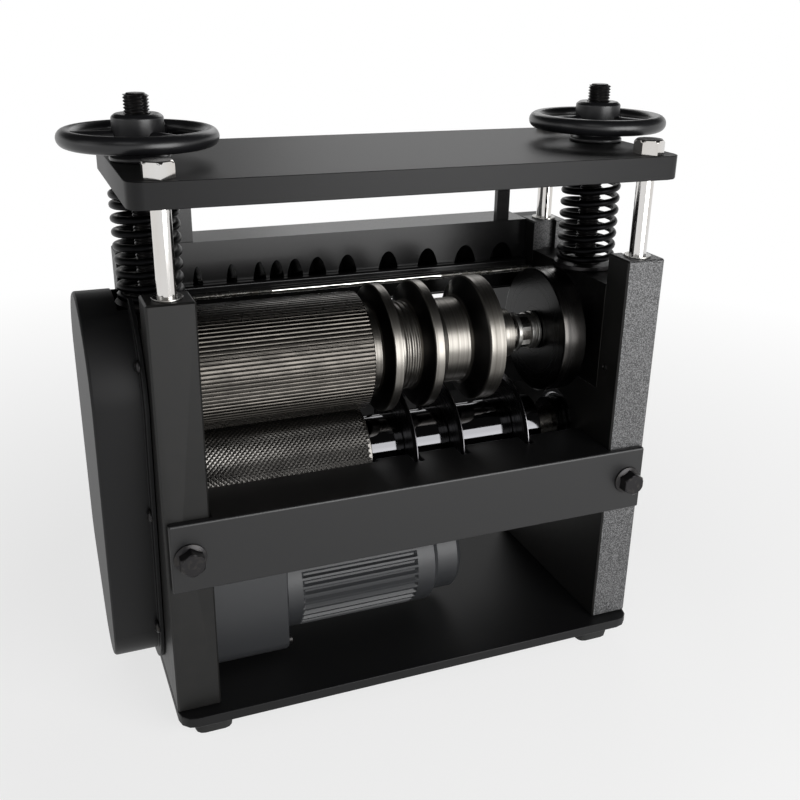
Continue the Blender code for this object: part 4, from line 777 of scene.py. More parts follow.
@dataclass
class Bench:
    """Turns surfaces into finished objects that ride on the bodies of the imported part.

    Its angles are in degrees, and the lengths that it welds at are in metres.
    """

    smooth_angle: float = 32.0
    weld: float = 2e-6
    least_edge: float = 1e-7
    flat_angle: float = 0.4
    bevel_angle: float = 35.0
    count: int = 0

    def finish_mesh(self, mesh: Mesh, finish: Finish, turn_out: bool) -> None:
        """Weld a mesh, turn its faces outwards where asked, and shade it smooth between its edges.

        Args:
            mesh: the mesh.
            finish: what it is made of.
            turn_out: whether its normals are worked out again.
        """
        work = bmesh.new()
        work.from_mesh(mesh)
        bmesh.ops.remove_doubles(work, verts=work.verts, dist=self.weld)
        bmesh.ops.dissolve_degenerate(work, edges=work.edges, dist=self.least_edge)
        if turn_out:
            bmesh.ops.recalc_face_normals(work, faces=work.faces)
        work.to_mesh(mesh)
        work.free()
        mesh.materials.clear()
        mesh.materials.append(finish.material())
        mesh.shade_smooth()
        mesh.set_sharp_from_angle(angle=math.radians(self.smooth_angle))

    def put(self, name: str, skin: Skin, finish: Finish, body: str, slot: str, *nodes: str) -> Object:
        """Make an object from a surface and hand it to the frame.

        Args:
            name: the object's name.
            skin: its surface, in millimetres in the machine's frame.
            finish: what it is made of.
            body: the body that it rides on.
            slot: the record's slot, which is not used.
            nodes: the CAD nodes that it stands for.

        Returns:
            The object.
        """
        points = (skin.points + np.array([0, SHAFT_SET_BACK, 0])) * MM
        mesh = bpy.data.meshes.new(name)
        mesh.from_pydata(points.tolist(), [], [row for rows in skin.faces for row in rows.tolist()])
        self.finish_mesh(mesh, finish, True)
        made = bpy.data.objects.new(name, mesh)
        made.modifiers.new("flat_faces_stay_flat", "WEIGHTED_NORMAL").keep_sharp = True
        return self.hand_over(made, body, slot, *nodes)

    def hand_over(self, made: Object, body: str, slot: str, *nodes: str) -> Object:
        """Link an object, tie it to its body, and let it stand for its CAD nodes.

        Args:
            made: the object.
            body: the body that it rides on.
            slot: its slot in the record, which is not used.
            nodes: the CAD nodes that it stands for.

        Returns:
            The same object.
        """
        bpy.context.scene.collection.objects.link(made)
        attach(made, body)
        if nodes:
            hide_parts(*nodes)
        self.count += 1
        return made

    def recast(self, node: str, finish: Finish, body: str, slot: str, arris: float) -> Object:
        """Stand a welded copy of a CAD node in its place, with its edges rounded.

        Args:
            node: the CAD node.
            finish: what it is made of.
            body: its body.
            slot: its slot in the record.
            arris: width of the rounding, in millimetres.

        Returns:
            The new object.
        """
        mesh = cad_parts[node].data.copy()
        mesh.name = node + "_skin"
        work = bmesh.new()
        work.from_mesh(mesh)
        bmesh.ops.remove_doubles(work, verts=work.verts, dist=self.weld)
        bmesh.ops.dissolve_limit(
            work, angle_limit=math.radians(self.flat_angle), verts=work.verts, edges=work.edges,
            use_dissolve_boundaries=False,
        )
        work.to_mesh(mesh)
        work.free()
        self.finish_mesh(mesh, finish, False)
        made = bpy.data.objects.new(node + "_skin", mesh)
        bevel = made.modifiers.new("soft_arris", "BEVEL")
        bevel.width = arris * MM
        bevel.segments = 3
        bevel.limit_method = "ANGLE"
        bevel.angle_limit = math.radians(self.bevel_angle)
        bevel.harden_normals = True
        return self.hand_over(made, body, slot, node)

    def paint(self, finish: Finish, *nodes: str) -> None:
        """Give CAD nodes that stay in sight their finish.

        Args:
            finish: what they are made of.
            nodes: the CAD nodes.
        """
        for node in nodes:
            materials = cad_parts[node].data.materials
            materials.clear()
            materials.append(finish.material())


# ---------------------------------------------------------------- sub-assemblies


@dataclass
class Castings:
    """The two side castings with what is screwed to them, and the base that they stand on."""

    bench: Bench
    washer_radius: float = 9.5
    washer_thickness: float = 1.4
    inward: float = -0.5
    screw_centre: tuple = (-63.0, 232.0)
    screw_radius: float = 2.9
    screw_lift: float = 0.1
    socket_radii: tuple = (1.5, 1.7)
    socket_edge: float = 0.9
    screw_sunk: tuple = (0.4, 0.6)

    def build(self) -> None:
        """Dress the castings, the base and the rails, and add the washers under the posts."""
        bench = self.bench
        bench.recast("left_side_casting", SIDE_ENAMEL, "frame", "black_paint", FINE_ARRIS)
        # The right casting's enamel has pale glints painted into its colour
        cast = bench.recast("right_side_casting", HAMMER_ENAMEL_PAINTED_GLINTS, "frame", "hammered_paint", FINE_ARRIS)
        # Its inner faces, which lie in shade, take the plain enamel without the painted glints
        self.shaded_faces_without_glints(cast)
        bench.recast("base_plate", SHEET_POWDER, "frame", "black_paint", SOFT_ARRIS)
        rim = [(CASTING_TOP, self.washer_radius), (CASTING_TOP + self.washer_thickness, self.washer_radius)]
        for side, sign in SIDES:
            bench.recast(side + "_foot_rail", RUBBER, "frame", "rubber", SOFT_ARRIS)
            for end, sense in ENDS:
                centre = (sign * CASTING_MIDDLE, sense * POST_Y)
                skin = lathe(Axis.Z, rim, centre, EASED_EDGE, Facets.KNOB)
                bench.put(f"{end}_{side}_post_washer", skin, BRIGHT_STEEL, "frame", "chrome")
        self.build_set_screw()
        LOG.info("castings, base and rails dressed")

    def shaded_faces_without_glints(self, cast: Object) -> None:
        """Give the right casting's faces that look towards the rollers, which lie in shade, the plain enamel
        without the painted glints.

        Args:
            cast: the casting. Its faces whose normal's X is below the limit look inwards.
        """
        cast.data.materials.append(SIDE_ENAMEL.material())
        normals = np.empty(3 * len(cast.data.polygons))
        cast.data.polygons.foreach_get("normal", normals)
        looks_in = normals.reshape(-1, 3)[:, 0] < self.inward
        cast.data.polygons.foreach_set("material_index", looks_in.astype(np.int32))

    def build_set_screw(self) -> None:
        """The socket screw in the inner face of the right casting's front prong."""
        face, (floor, mouth) = CASTING_INNER + self.screw_lift, self.socket_radii
        sunk, back = (face + depth for depth in self.screw_sunk)
        edge, radius = face - self.socket_edge, self.screw_radius
        profile = [(sunk, floor), (edge, mouth), (edge, radius), (back, radius)]
        skin = lathe(Axis.X, profile, self.screw_centre, TIGHT_EDGE, Facets.SOCKET, steps=2)
        self.bench.put("right_prong_set_screw", skin, BLACK_OXIDE, "frame", "black_oxide")


@dataclass
class Crossbars:
    """The front angle and its flanged bolts, and the rear tie bar with its own."""

    bench: Bench
    front: float = -85.3
    rear: float = 86.0
    bolt_z: float = 147.0
    flange_radius: float = 10.7
    flange_edge: float = 0.9
    dome: tuple = ((2.0, 2.2), (2.6, 3.0))
    head_ends: tuple = (2.0, 10.1)
    flats: float = 15.4

    def flange_bolt(self, centre: tuple, seat: float, sense: int) -> Skin:
        """A hexagon bolt with a domed flange: the flange turned, the head a cut-back hexagon.

        Args:
            centre: X and Z of its axis.
            seat: Y of the face that it sits on.
            sense: -1 where the head points to -Y, 1 where it points to +Y.

        Returns:
            The surface.
        """
        radius = self.flange_radius
        rows = [(0.0, radius), (self.flange_edge, radius)]
        rows += [(height, radius - inset) for height, inset in self.dome]
        rows = [(seat + sense * height, width) for height, width in rows]
        flange = lathe(Axis.Y, rows, centre, CRISP_EDGE)
        bottom, top = (seat + sense * height for height in self.head_ends)
        return joined(flange, hexagon_head(Axis.Y, bottom, top, self.flats, centre))

    def build(self) -> None:
        """Dress both bars and put in their bolts."""
        self.bench.recast("front_crossbar", BAR_POWDER, "frame", "black_paint", BAR_ARRIS)
        self.bench.recast("rear_tie_bar", BAR_POWDER, "frame", "black_paint", FINE_ARRIS)
        for side, sign in SIDES:
            centre, node = (sign * CASTING_MIDDLE, self.bolt_z), side + "_crossbar_bolt"
            skin = self.flange_bolt(centre, self.front, -1)
            self.bench.put(node + "_head", skin, BLACK_OXIDE, "frame", "black_oxide", node)
            skin = self.flange_bolt(centre, self.rear, 1)
            self.bench.put(side + "_tie_bar_bolt", skin, BLACK_OXIDE, "frame", "black_oxide")
        LOG.info("crossbars and bolts built")


@dataclass
class TopWorks:
    """Top plate on its posts, the springs, the lift screws and the handwheels."""

    bench: Bench
    post_radius: float = 6.0
    post_sunk: float = 17.7
    post_lap: float = 0.5
    post_flats: float = 18.0
    post_head: float = 10.0
    seat_bottom: float = 293.2
    seat_top: float = 296.2
    seat_radius: float = 23.5
    spigot: tuple = ((296.2, 12.5), (298.4, 12.0))
    spring_radius: float = 19.5
    wire_radius: float = 2.5
    turns: float = 8.6
    closed_turns: float = 0.7
    closing_turns: float = 0.5
    screw_radius: float = 8.0
    screw_pitch: float = 2.0
    screw_bottom: float = 285.2
    screw_top: float = 426.9
    shank_radius: float = 7.9
    shank_lap: float = 0.8
    thread_insets: tuple = (0.2, 1.0)
    point: tuple = ((1.6, 7.0), (0.0, 5.6))
    rim_radius: float = 44.0
    tube_radius: float = 5.5
    rim_height: float = 14.0
    hub_bore: float = 8.3
    hub: tuple = ((0.0, 19.0), (2.5, 19.0), (4.5, 16.0), (26.0, 16.0), (28.0, 13.5))
    spoke_start: float = 12.5
    spoke_radii: tuple = (4.6, 4.2, 4.2, 4.8)
    spoke_flare: tuple = (9.0, 6.0)
    spokes: int = 3
    lift: float = 6.0

    def build(self) -> None:
        """Build everything above the castings."""
        self.bench.recast("top_plate", SHEET_POWDER, "frame", "black_paint", SOFT_ARRIS)
        for side, sign in SIDES:
            for end, sense in ENDS:
                self.build_post(f"{end}_{side}_post", (sign * CASTING_MIDDLE, sense * POST_Y))
            self.build_spring(side, sign)
            self.build_lift_screw(side, sign)
            self.build_handwheel(side, sign)
        LOG.info("top plate, posts, springs, lift screws and handwheels built")

    def build_post(self, node: str, centre: tuple) -> None:
        """A chromed post with its hexagon head above the plate.

        Args:
            node: the CAD node that it stands for.
            centre: X and Y of its axis.
        """
        seat, radius = PLATE_TOP + SEAT_GAP, self.post_radius
        ends = (CASTING_TOP - self.post_sunk, seat + self.post_lap)
        shank = lathe(Axis.Z, [(end, radius) for end in ends], centre, CRISP_EDGE)
        head = hexagon_head(Axis.Z, seat, seat + self.post_head, self.post_flats, centre)
        self.bench.put(node + "_rod", joined(shank, head), CHROME, "frame", "chrome", node)

    def build_spring(self, side: str, sign: int) -> None:
        """A compression spring with a closed turn at each end.

        The height at angle a is the running total of the pitch, which rises from the wire's
        thickness in the end turns to its full value between them as a raised cosine.

        Args:
            side: "left" or "right".
            sign: -1 or 1.
        """
        turns, steps, contact = self.turns, 32, 0.05
        share = np.linspace(0, 1, int(turns * steps) + 1)
        angle = math.pi / 2 + share * turns * FULL_TURN
        from_end = np.minimum(share, 1 - share) * turns
        opened = np.clip((from_end - self.closed_turns) / self.closing_turns, 0, 1)
        blend = 0.5 - 0.5 * np.cos(math.pi * opened)
        bottom = self.seat_top + SEAT_GAP + self.wire_radius
        rise = PLATE_BOTTOM - SEAT_GAP - self.wire_radius - bottom
        closed = 2 * self.wire_radius + contact
        open_pitch = closed + (rise - closed * turns) / (turns * float(blend[1:].mean()))
        pitch = closed + (open_pitch - closed) * blend
        height = bottom + np.concatenate([[0], np.cumsum(pitch[1:])]) * turns / (len(share) - 1)
        outward = np.stack([np.cos(angle), np.sin(angle), np.zeros_like(angle)], axis=1)
        middle = np.stack(np.broadcast_arrays(sign * CASTING_MIDDLE, 0.0, height), axis=1)
        skin = wire(outward * self.spring_radius + middle, outward, self.wire_radius)
        node = side + "_spring"
        made = self.bench.put(node + "_coil", skin, SPRING_WIRE, "frame", "spring_steel", node)
        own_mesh(made)

    def build_lift_screw(self, side: str, sign: int) -> None:
        """A lift screw with its thread, and the collar that seats the spring.

        Args:
            side: "left" or "right".
            sign: -1 or 1.
        """
        centre, radius, top = (sign * CASTING_MIDDLE, 0.0), self.screw_radius, self.screw_top
        collar = [(self.seat_bottom, self.seat_radius), (self.seat_top, self.seat_radius), *self.spigot]
        shank = (self.screw_bottom, self.seat_bottom + self.shank_lap)
        sunk = [(end, self.shank_radius) for end in shank]
        point = [(top - height, width) for height, width in self.point]
        ends = (self.seat_bottom + self.thread_insets[0], top - self.thread_insets[1])
        skin = joined(
            lathe(Axis.Z, collar, centre, SOFT_EDGE, bore=radius),
            lathe(Axis.Z, sunk, centre, TIGHT_EDGE, Facets.KNOB),
            threaded(Axis.Z, ends, radius, self.screw_pitch, centre, Facets.ROD),
            lathe(Axis.Z, point, centre, CRISP_EDGE, Facets.ROD),
        )
        node = side + "_lift_screw"
        self.bench.put(node + "_thread", skin, BLACK_OXIDE, "upper_carriage", "bright_steel", node)

    def build_handwheel(self, side: str, sign: int) -> None:
        """A handwheel: its rim a torus, R + r cos a out and r sin a up, on a hub and spokes.

        Args:
            side: "left" or "right".
            sign: -1 or 1.
        """
        centre, seat = (sign * CASTING_MIDDLE, 0.0), PLATE_TOP + SEAT_GAP
        middle, angle = seat + self.rim_height, np.arange(Facets.SOCKET) / Facets.SOCKET * FULL_TURN
        hub = [(seat + height, width) for height, width in self.hub]
        circle = self.tube_radius * np.stack([np.sin(angle), np.cos(angle)], axis=1)
        skins = [
            turned(Axis.Z, circle + (middle, self.rim_radius), centre, Facets.WHEEL, ring=True),
            lathe(Axis.Z, hub, centre, HUB_EDGE, bore=self.hub_bore),
        ]
        start, end = centre[0] + self.spoke_start, centre[0] + self.rim_radius
        waist = (start + self.spoke_flare[0], end - self.spoke_flare[1])
        spoke = list(zip((start, *waist, end), self.spoke_radii))
        bar = lathe(Axis.X, spoke, (centre[1], middle), CRISP_EDGE, Facets.SOCKET)
        skins += [swung(bar, -(k + 0.5) * FULL_TURN / self.spokes, centre) for k in range(self.spokes)]
        node = side + "_handwheel"
        self.bench.put(node + "_body", joined(*skins), BLACK_PLASTIC, side + "_wheel", "black_plastic", node)


@dataclass
class Carriage:
    """Slider blocks in the castings' slots, and the bearings of both shafts."""

    bench: Bench
    ends: tuple = (150.3, 165.3)
    radius: float = 26.0
    shield_dip: float = 0.8
    inner_ring: tuple = (16.5, 17.0)
    outer_ring: tuple = (22.0, 22.5)

    def build(self) -> None:
        """Dress the sliders and build the four bearings."""
        for side, sign in SIDES:
            node, lifted = side + "_slider_block", "upper_carriage"
            self.bench.recast(node, SLIDER_STEEL, lifted, "roller_steel", FINE_ARRIS)
            near, far = sorted(sign * end for end in self.ends)
            for level, centre, body in (("upper", UPPER_AXIS, lifted), ("lower", LOWER_AXIS, "frame")):
                node = f"{side}_{level}_bearing"
                skin = self.bearing(near, far, centre)
                self.bench.put(node + "_rings", skin, BEARING_STEEL, body, "bearing_steel", node)
        LOG.info("slider blocks and bearings built")

    def bearing(self, near: float, far: float, centre: tuple) -> Skin:
        """A shielded bearing: two rings with a shield set back between them on both faces.

        Args:
            near: X of its left face.
            far: X of its right face.
            centre: Y and Z of its axis.

        Returns:
            The surface.
        """
        (land, shield_in), (shield_out, lip) = self.inner_ring, self.outer_ring
        dip = near + self.shield_dip
        face = [(near, land), (dip, shield_in), (dip, shield_out), (near, lip), (near, self.radius)]
        other = [(near + far - place, width) for place, width in reversed(face)]
        return lathe(Axis.X, face + other, centre, CRISP_EDGE, Facets.RING, BORE, steps=2)


def shaft_bar(centre: tuple) -> Skin:
    """A shaft from the gears on the left to the bearing on the right, with chamfered ends."""
    return lathe(Axis.X, [(end, SHAFT_RADIUS) for end in SHAFT_ENDS], centre, SHAFT_CHAMFER)


@dataclass
class UpperShaft:
    """The upper shaft with its fluted feed roller, grooved rollers, spool and end roller.

    Each roller's tuple gives the X of its left end, of the feet and crests of its slopes, and of
    its right end, in order.
    """

    bench: Bench
    core: float = 31.7
    worn_rim: float = 0.6
    fluted_ends: tuple = (-146.0, -22.3)
    fluted_radius: float = 43.0
    flutes: int = 88
    flute_depth: float = 0.45
    relief: tuple = (-22.0, -13.2, -9.2, -3.0)
    narrow: tuple = (-2.7, 2.5, 16.0, 21.5, 28.0)
    ridges: tuple = (4.6, 8.6, 12.6)
    ridge: tuple = ((0.0, 0.0), (0.7, 0.9), (1.9, 0.9), (2.6, 0.0))
    wide: tuple = (28.3, 37.5, 55.2, 64.7, 76.5, 99.0)
    collar: float = 18.5
    end: tuple = (123.7, 124.1, 141.6, 149.0)
    end_radii: tuple = (47.0, 47.5, 18.0)
    rim: tuple = (124.2, 141.9, 48.0, 46.0)
    spool_bore: float = 10.0
    spool_ring: tuple = ((103.9, 14.2), (104.5, 14.8), (107.4, 14.8))
    spool_rings: tuple = (
        (115.6, 13.6), (116.0, 14.4), (118.8, 14.4), (119.2, 12.8), (120.4, 12.8), (120.8, 14.8),
        (123.1, 14.8),
    )
    nut_middle: float = 111.5
    nut_half: float = 4.3
    nut_flats: float = 24.0

    def rollers(self) -> dict:
        """Work out the profiles of the turned rollers.

        Returns:
            Lists of (place, radius) pairs from left to right, by CAD node.
        """
        core, crest = self.core, FLANGE_RADIUS
        left, foot, top, right = self.relief
        profiles = {"relief_roller": [(left, core), (foot, core), (top, crest), (right, crest)]}
        left, foot, rise, top, right = self.narrow
        ridges = [(place + step, core + height) for place in self.ridges for step, height in self.ridge]
        profiles["narrow_groove_roller"] = [
            (left, crest - self.worn_rim), (foot, core), *ridges, (rise, core), (top, crest), (right, crest),
        ]
        left, foot, rise, top, step, right = self.wide
        profiles["wide_groove_roller"] = [
            (left, crest - self.worn_rim), (foot, core), (rise, core), (top, crest), (step, crest),
            (step, self.collar), (right, self.collar),
        ]
        (left, edge, step, right), (first, body, hub) = self.end, self.end_radii
        profiles["end_roller"] = [(left, first), (edge, body), (step, body), (step, hub), (right, hub)]
        return profiles

    def build(self) -> None:
        """Build the shaft and all that turns with it."""
        body, slot, put = "upper_shaft_set", "groove_steel", self.bench.put
        put("upper_shaft_bar", shaft_bar(UPPER_AXIS), SHAFT_STEEL, body, "bright_steel", "upper_shaft")
        skin = fluted(self.fluted_ends, self.fluted_radius, self.flutes, self.flute_depth, UPPER_AXIS)
        put("fluted_roller_face", skin, FLUTED_STEEL, body, "roller_steel", "fluted_roller")
        for node, profile in self.rollers().items():
            finish = BLACKENED_STEEL if node == "end_roller" else TURNED_STEEL
            put(node + "_turned", roller(profile, UPPER_AXIS), finish, body, slot, node)
        left, right, outer, inner = self.rim
        skin = lathe(Axis.X, [(left, outer), (right, outer)], UPPER_AXIS, EASED_EDGE, Facets.ROLLER, inner)
        put("end_roller_rim", skin, WORN_RIM_STEEL, body, slot)
        put("waisted_spool_nut", self.spool(), NUT_STEEL, body, "bright_steel", "waisted_spool")
        LOG.info("upper shaft set built")

    def spool(self) -> Skin:
        """Make the waisted spool: a nut as two hexagon heads back to back, between plain rings.

        Returns:
            The surface.
        """
        middle, half = self.nut_middle, self.nut_half
        return joined(
            lathe(Axis.X, self.spool_ring, UPPER_AXIS, EASED_EDGE, Facets.RING, self.spool_bore),
            hexagon_head(Axis.X, middle, middle - half, self.nut_flats, UPPER_AXIS),
            hexagon_head(Axis.X, middle, middle + half, self.nut_flats, UPPER_AXIS),
            lathe(Axis.X, self.spool_rings, UPPER_AXIS, CRISP_EDGE, Facets.RING, self.spool_bore),
        )


@dataclass
class LowerShaft:
    """The lower shaft with its knurled roller, disc blades, sleeves and ringed lock nut."""

    bench: Bench
    knurl_ends: tuple = (-144.6, -22.4)
    knurl_pitch: float = 3.5
    knurl_depth: float = 0.6
    roller_ends: tuple = (-146.0, -21.2)
    radius: float = 36.0
    chamfer: float = 0.6
    sleeve_radius: float = 24.8
    hub_ends: tuple = (-22.0, 7.45)
    blades: tuple = (9.25, 46.35, 100.1)
    blade_half: float = 1.5
    edge_half: float = 0.3
    bevel: float = 4.0
    blade_gap: float = 1.8
    last_sleeve_end: float = 123.3
    nut_left: float = 140.8
    nut_rings: int = 3
    nut_pitch: float = 3.0
    nut_land: float = 2.2
    nut_radii: tuple = (19.5, 16.5)

    def build(self) -> None:
        """Build the shaft and all that turns with it."""
        put = self.bench.put
        body, slot = "lower_shaft_set", "dark_steel"
        put("lower_shaft_bar", shaft_bar(LOWER_AXIS), SHAFT_STEEL, body, "bright_steel", "lower_shaft")
        put("knurled_roller_face", self.knurled_roller(), KNURL_STEEL, body, slot, "knurled_roller")
        hub = roller([(end, self.sleeve_radius) for end in self.hub_ends], LOWER_AXIS, CRISP_EDGE)
        put("knurled_roller_hub", hub, SLEEVE_STEEL, body, slot)
        sleeve_ends = [place - self.blade_gap for place in self.blades[1:]] + [self.last_sleeve_end]
        for number, (place, end) in enumerate(zip(self.blades, sleeve_ends), start=1):
            edge, foot = FLANGE_RADIUS, FLANGE_RADIUS - self.bevel
            half, tip = self.blade_half, self.edge_half
            profile = [(place - half, foot), (place - tip, edge), (place + tip, edge), (place + half, foot)]
            skin = lathe(Axis.X, profile, LOWER_AXIS, HONED_EDGE, Facets.BLADE, BORE)
            put(f"disc_blade_{number}_ground", skin, BLADE_STEEL, body, "blade_steel", f"disc_blade_{number}")
            profile = [(place + self.blade_gap, self.sleeve_radius), (end, self.sleeve_radius)]
            skin, node = roller(profile, LOWER_AXIS, SLEEVE_EDGE), f"blade_spacer_{number}"
            put(node + "_sleeve", skin, SLEEVE_STEEL, body, slot, node)
        put("lock_nut_rings", self.lock_nut(), BLACKENED_STEEL, body, slot, "lock_nut")
        LOG.info("lower shaft set built")

    def knurled_roller(self) -> Skin:
        """Make the knurled roller: the knurl laid over a chamfered body as deep as its grooves.

        Returns:
            The surface.
        """
        low, (left, right), cut = self.radius - self.knurl_depth, self.roller_ends, self.chamfer
        start, end = self.knurl_ends
        rows = [(left, BORE), (left, low - cut), (left + cut, low), (start, low)]
        rows += [(end, low), (right - cut, low), (right, low - cut), (right, BORE)]
        return joined(
            turned(Axis.X, np.array(rows), LOWER_AXIS, Facets.ROLLER, ring=True),
            knurled(self.knurl_ends, self.radius, self.knurl_pitch, self.knurl_depth, LOWER_AXIS),
        )

    def lock_nut(self) -> Skin:
        """Make the lock nut, whose rings stand up with a groove between each two.

        Returns:
            The surface.
        """
        (land, groove), width, pitch = self.nut_radii, self.nut_land, self.nut_pitch
        ring = ((0.0, land), (width, land), (width, groove), (pitch, groove))
        starts = [self.nut_left + pitch * k for k in range(self.nut_rings)]
        rows = [(start + step, radius) for start in starts for step, radius in ring]
        return lathe(Axis.X, rows[:-2], LOWER_AXIS, CRISP_EDGE, Facets.RING, BORE)


@dataclass
class GearTrain:
    """The gears, the idler's pin, and the cover with its screws."""

    bench: Bench
    flange_face: float = -183.6
    screws: tuple = (
        (57.1, 271.0), (-57.1, 271.0), (-52.1, 164.4), (69.0, 104.0), (-40.1, 70.0), (12.0, 31.7),
    )

    def build(self) -> None:
        """Dress the gears and the cover, and add the cover's screws."""
        self.bench.paint(GEAR_STEEL, "upper_gear", "lower_gear", "idler_gear", "output_pinion")
        self.bench.paint(BRIGHT_STEEL, "idler_pin")
        self.bench.recast("gear_cover", SHEET_POWDER, "frame", "black_paint", SHEET_ARRIS)
        for number, centre in enumerate(self.screws, start=1):
            skin = COVER_SCREW.skin(Axis.X, self.flange_face, -1, centre)
            self.bench.put(f"cover_screw_{number}", skin, BLACK_OXIDE, "frame", "black_oxide")
        LOG.info("gears, cover and cover screws built")


@dataclass
class InletGuide:
    """The inlet plate with its arches and hangers, the lip and the rod before it, and the feed rest."""

    bench: Bench
    faces: tuple = (68.0, 104.0)
    bottom: float = 259.0
    base: float = 276.0
    arch_height: float = 21.6
    arch_samples: int = 25
    arch_middles: tuple = (-121.5, -96.3, -75.0, -61.8, -47.4, -29.7, -5.4, 28.5, 62.1, 95.1, 128.1)
    arch_halves: tuple = (4.05, 4.5, 5.4, 6.15, 6.9, 7.95, 8.25, 8.85, 9.45, 10.2, 10.95)
    hanger_x: float = 128.5
    hanger_half: float = 5.5
    hanger_faces: tuple = (70.0, 75.0)
    hanger_lap: float = 1.0
    rod_centre: tuple = (58.2, 277.0)
    rod_radius: float = 2.5
    rod_plain_half: float = 69.0
    rod_pitch: float = 0.9
    thread_radius: float = 2.45
    thread_lap: float = 0.2
    curtain_gap: float = 0.2
    curtain_thickness: float = 1.6
    curtain_below: float = 8.0
    curtain_above: float = 9.0
    slit: float = 0.5
    rest_low: tuple = (-GUIDE_HALF, 60.0, 176.0)
    rest_high: tuple = (GUIDE_HALF, 76.0, 196.0)
    pins: int = 12
    pin: tuple = ((194.0, 2.5), (219.5, 2.5), (221.4, 1.7), (222.0, 0.8))

    def guide(self) -> Skin:
        """The plate: on columns x, its faces run from the bottom to the base and from c(x) to the top.

        c(x) is the base outside the arches and, inside one with half width w about m, the
        ellipse base + h sqrt(1 - ((x - m) / w)^2). The base and c(x) also bound the tunnels.

        Returns:
            The surface. Its halves meet outside the arches, where the weld joins them.
        """
        share = np.cos(np.linspace(math.pi, 0, self.arch_samples))
        columns = np.array(self.arch_middles)[:, None] + np.array(self.arch_halves)[:, None] * share
        columns = np.concatenate([[-GUIDE_HALF], columns.ravel(), [GUIDE_HALF]])
        arch = self.base + self.arch_height * np.sqrt(np.clip(1 - share**2, 0, None))
        crown = np.concatenate([[self.base], np.tile(arch, len(self.arch_middles)), [self.base]])
        count, (front, back) = len(columns), self.faces
        lower = ((self.bottom, front), (self.base, front), (self.base, back), (self.bottom, back))
        upper = ((CASTING_TOP, front), (CASTING_TOP, back), (crown, back), (crown, front))
        halves = []
        for loop in (lower, upper):
            points = np.stack([laid(Axis.Y, np.full(count, y), columns, z) for z, y in loop])
            halves.append(Skin(points.reshape(-1, 3), [grid_faces(4, count, True, False)]))
        caps = [
            [(x, front, low), (x, back, low), (x, back, high), (x, front, high)]
            for x in (-GUIDE_HALF, GUIDE_HALF)
            for low, high in ((self.bottom, self.base), (self.base, CASTING_TOP))
        ]
        return joined(*halves, *(Skin(np.array(cap), [np.arange(4)[None]]) for cap in caps))

    def build(self) -> None:
        """Build the guide, lip, rod, curtain and feed rest."""
        bench, (near, far) = self.bench, self.hanger_faces
        low, high = CASTING_TOP - self.hanger_lap, PLATE_BOTTOM - SEAT_GAP
        hangers = [
            block((x - self.hanger_half, near, low), (x + self.hanger_half, far, high))
            for x in (-self.hanger_x, self.hanger_x)
        ]
        skin = joined(self.guide(), *hangers)
        bench.put("inlet_guide_plate", skin, GLOSS_ENAMEL, "frame", "black_paint", "inlet_guide")
        bench.recast("inlet_lip", GLOSS_ENAMEL, "frame", "black_paint", SHEET_ARRIS)
        self.build_rod()
        self.build_curtain()
        self.build_feed_rest()
        LOG.info("inlet guide, lip, rod, curtain and feed rest built")

    def build_rod(self) -> None:
        """The rod before the plate: plain and bright in the middle, threaded towards both ends."""
        plain, centre, put = self.rod_plain_half, self.rod_centre, self.bench.put
        profile = [(end, self.rod_radius) for end in (-plain, plain)]
        middle = lathe(Axis.X, profile, centre, TIGHT_EDGE, Facets.ROD)
        put("tie_rod_middle", middle, BRIGHT_ROD, "frame", "bright_steel")
        start, radius = plain - self.thread_lap, self.thread_radius
        ends = ((-GUIDE_HALF, -start), (start, GUIDE_HALF))
        threads = [threaded(Axis.X, end, radius, self.rod_pitch, centre, Facets.PIN) for end in ends]
        put("tie_rod_thread", joined(*threads), BRIGHT_STEEL, "frame", "bright_steel", "tie_rod")

    def build_curtain(self) -> None:
        """The rubber curtain behind the arches, slit at the middle of each one for the cable."""
        slits, half = [-GUIDE_HALF, *self.arch_middles, GUIDE_HALF], self.slit / 2
        near = self.faces[1] + self.curtain_gap
        far = near + self.curtain_thickness
        low, high = self.base - self.curtain_below, CASTING_TOP - self.curtain_above
        pairs = zip(slits[:-1], slits[1:])
        strips = [block((start + half, near, low), (end - half, far, high)) for start, end in pairs]
        self.bench.put("inlet_curtain", joined(*strips), RUBBER, "frame", "rubber")

    def build_feed_rest(self) -> None:
        """The bar behind the rollers, with round-topped pins in a row."""
        places = CASTING_INNER * np.linspace(-1, 1, self.pins + 2)[1:-1]
        middle = (self.rest_low[1] + self.rest_high[1]) / 2
        skins = [lathe(Axis.Z, self.pin, (x, middle), EASED_EDGE, Facets.PIN) for x in places]
        skin = joined(block(self.rest_low, self.rest_high), *skins)
        self.bench.put("feed_rest_with_pins", skin, SHEET_POWDER, "frame", "black_paint", "feed_rest_bar")


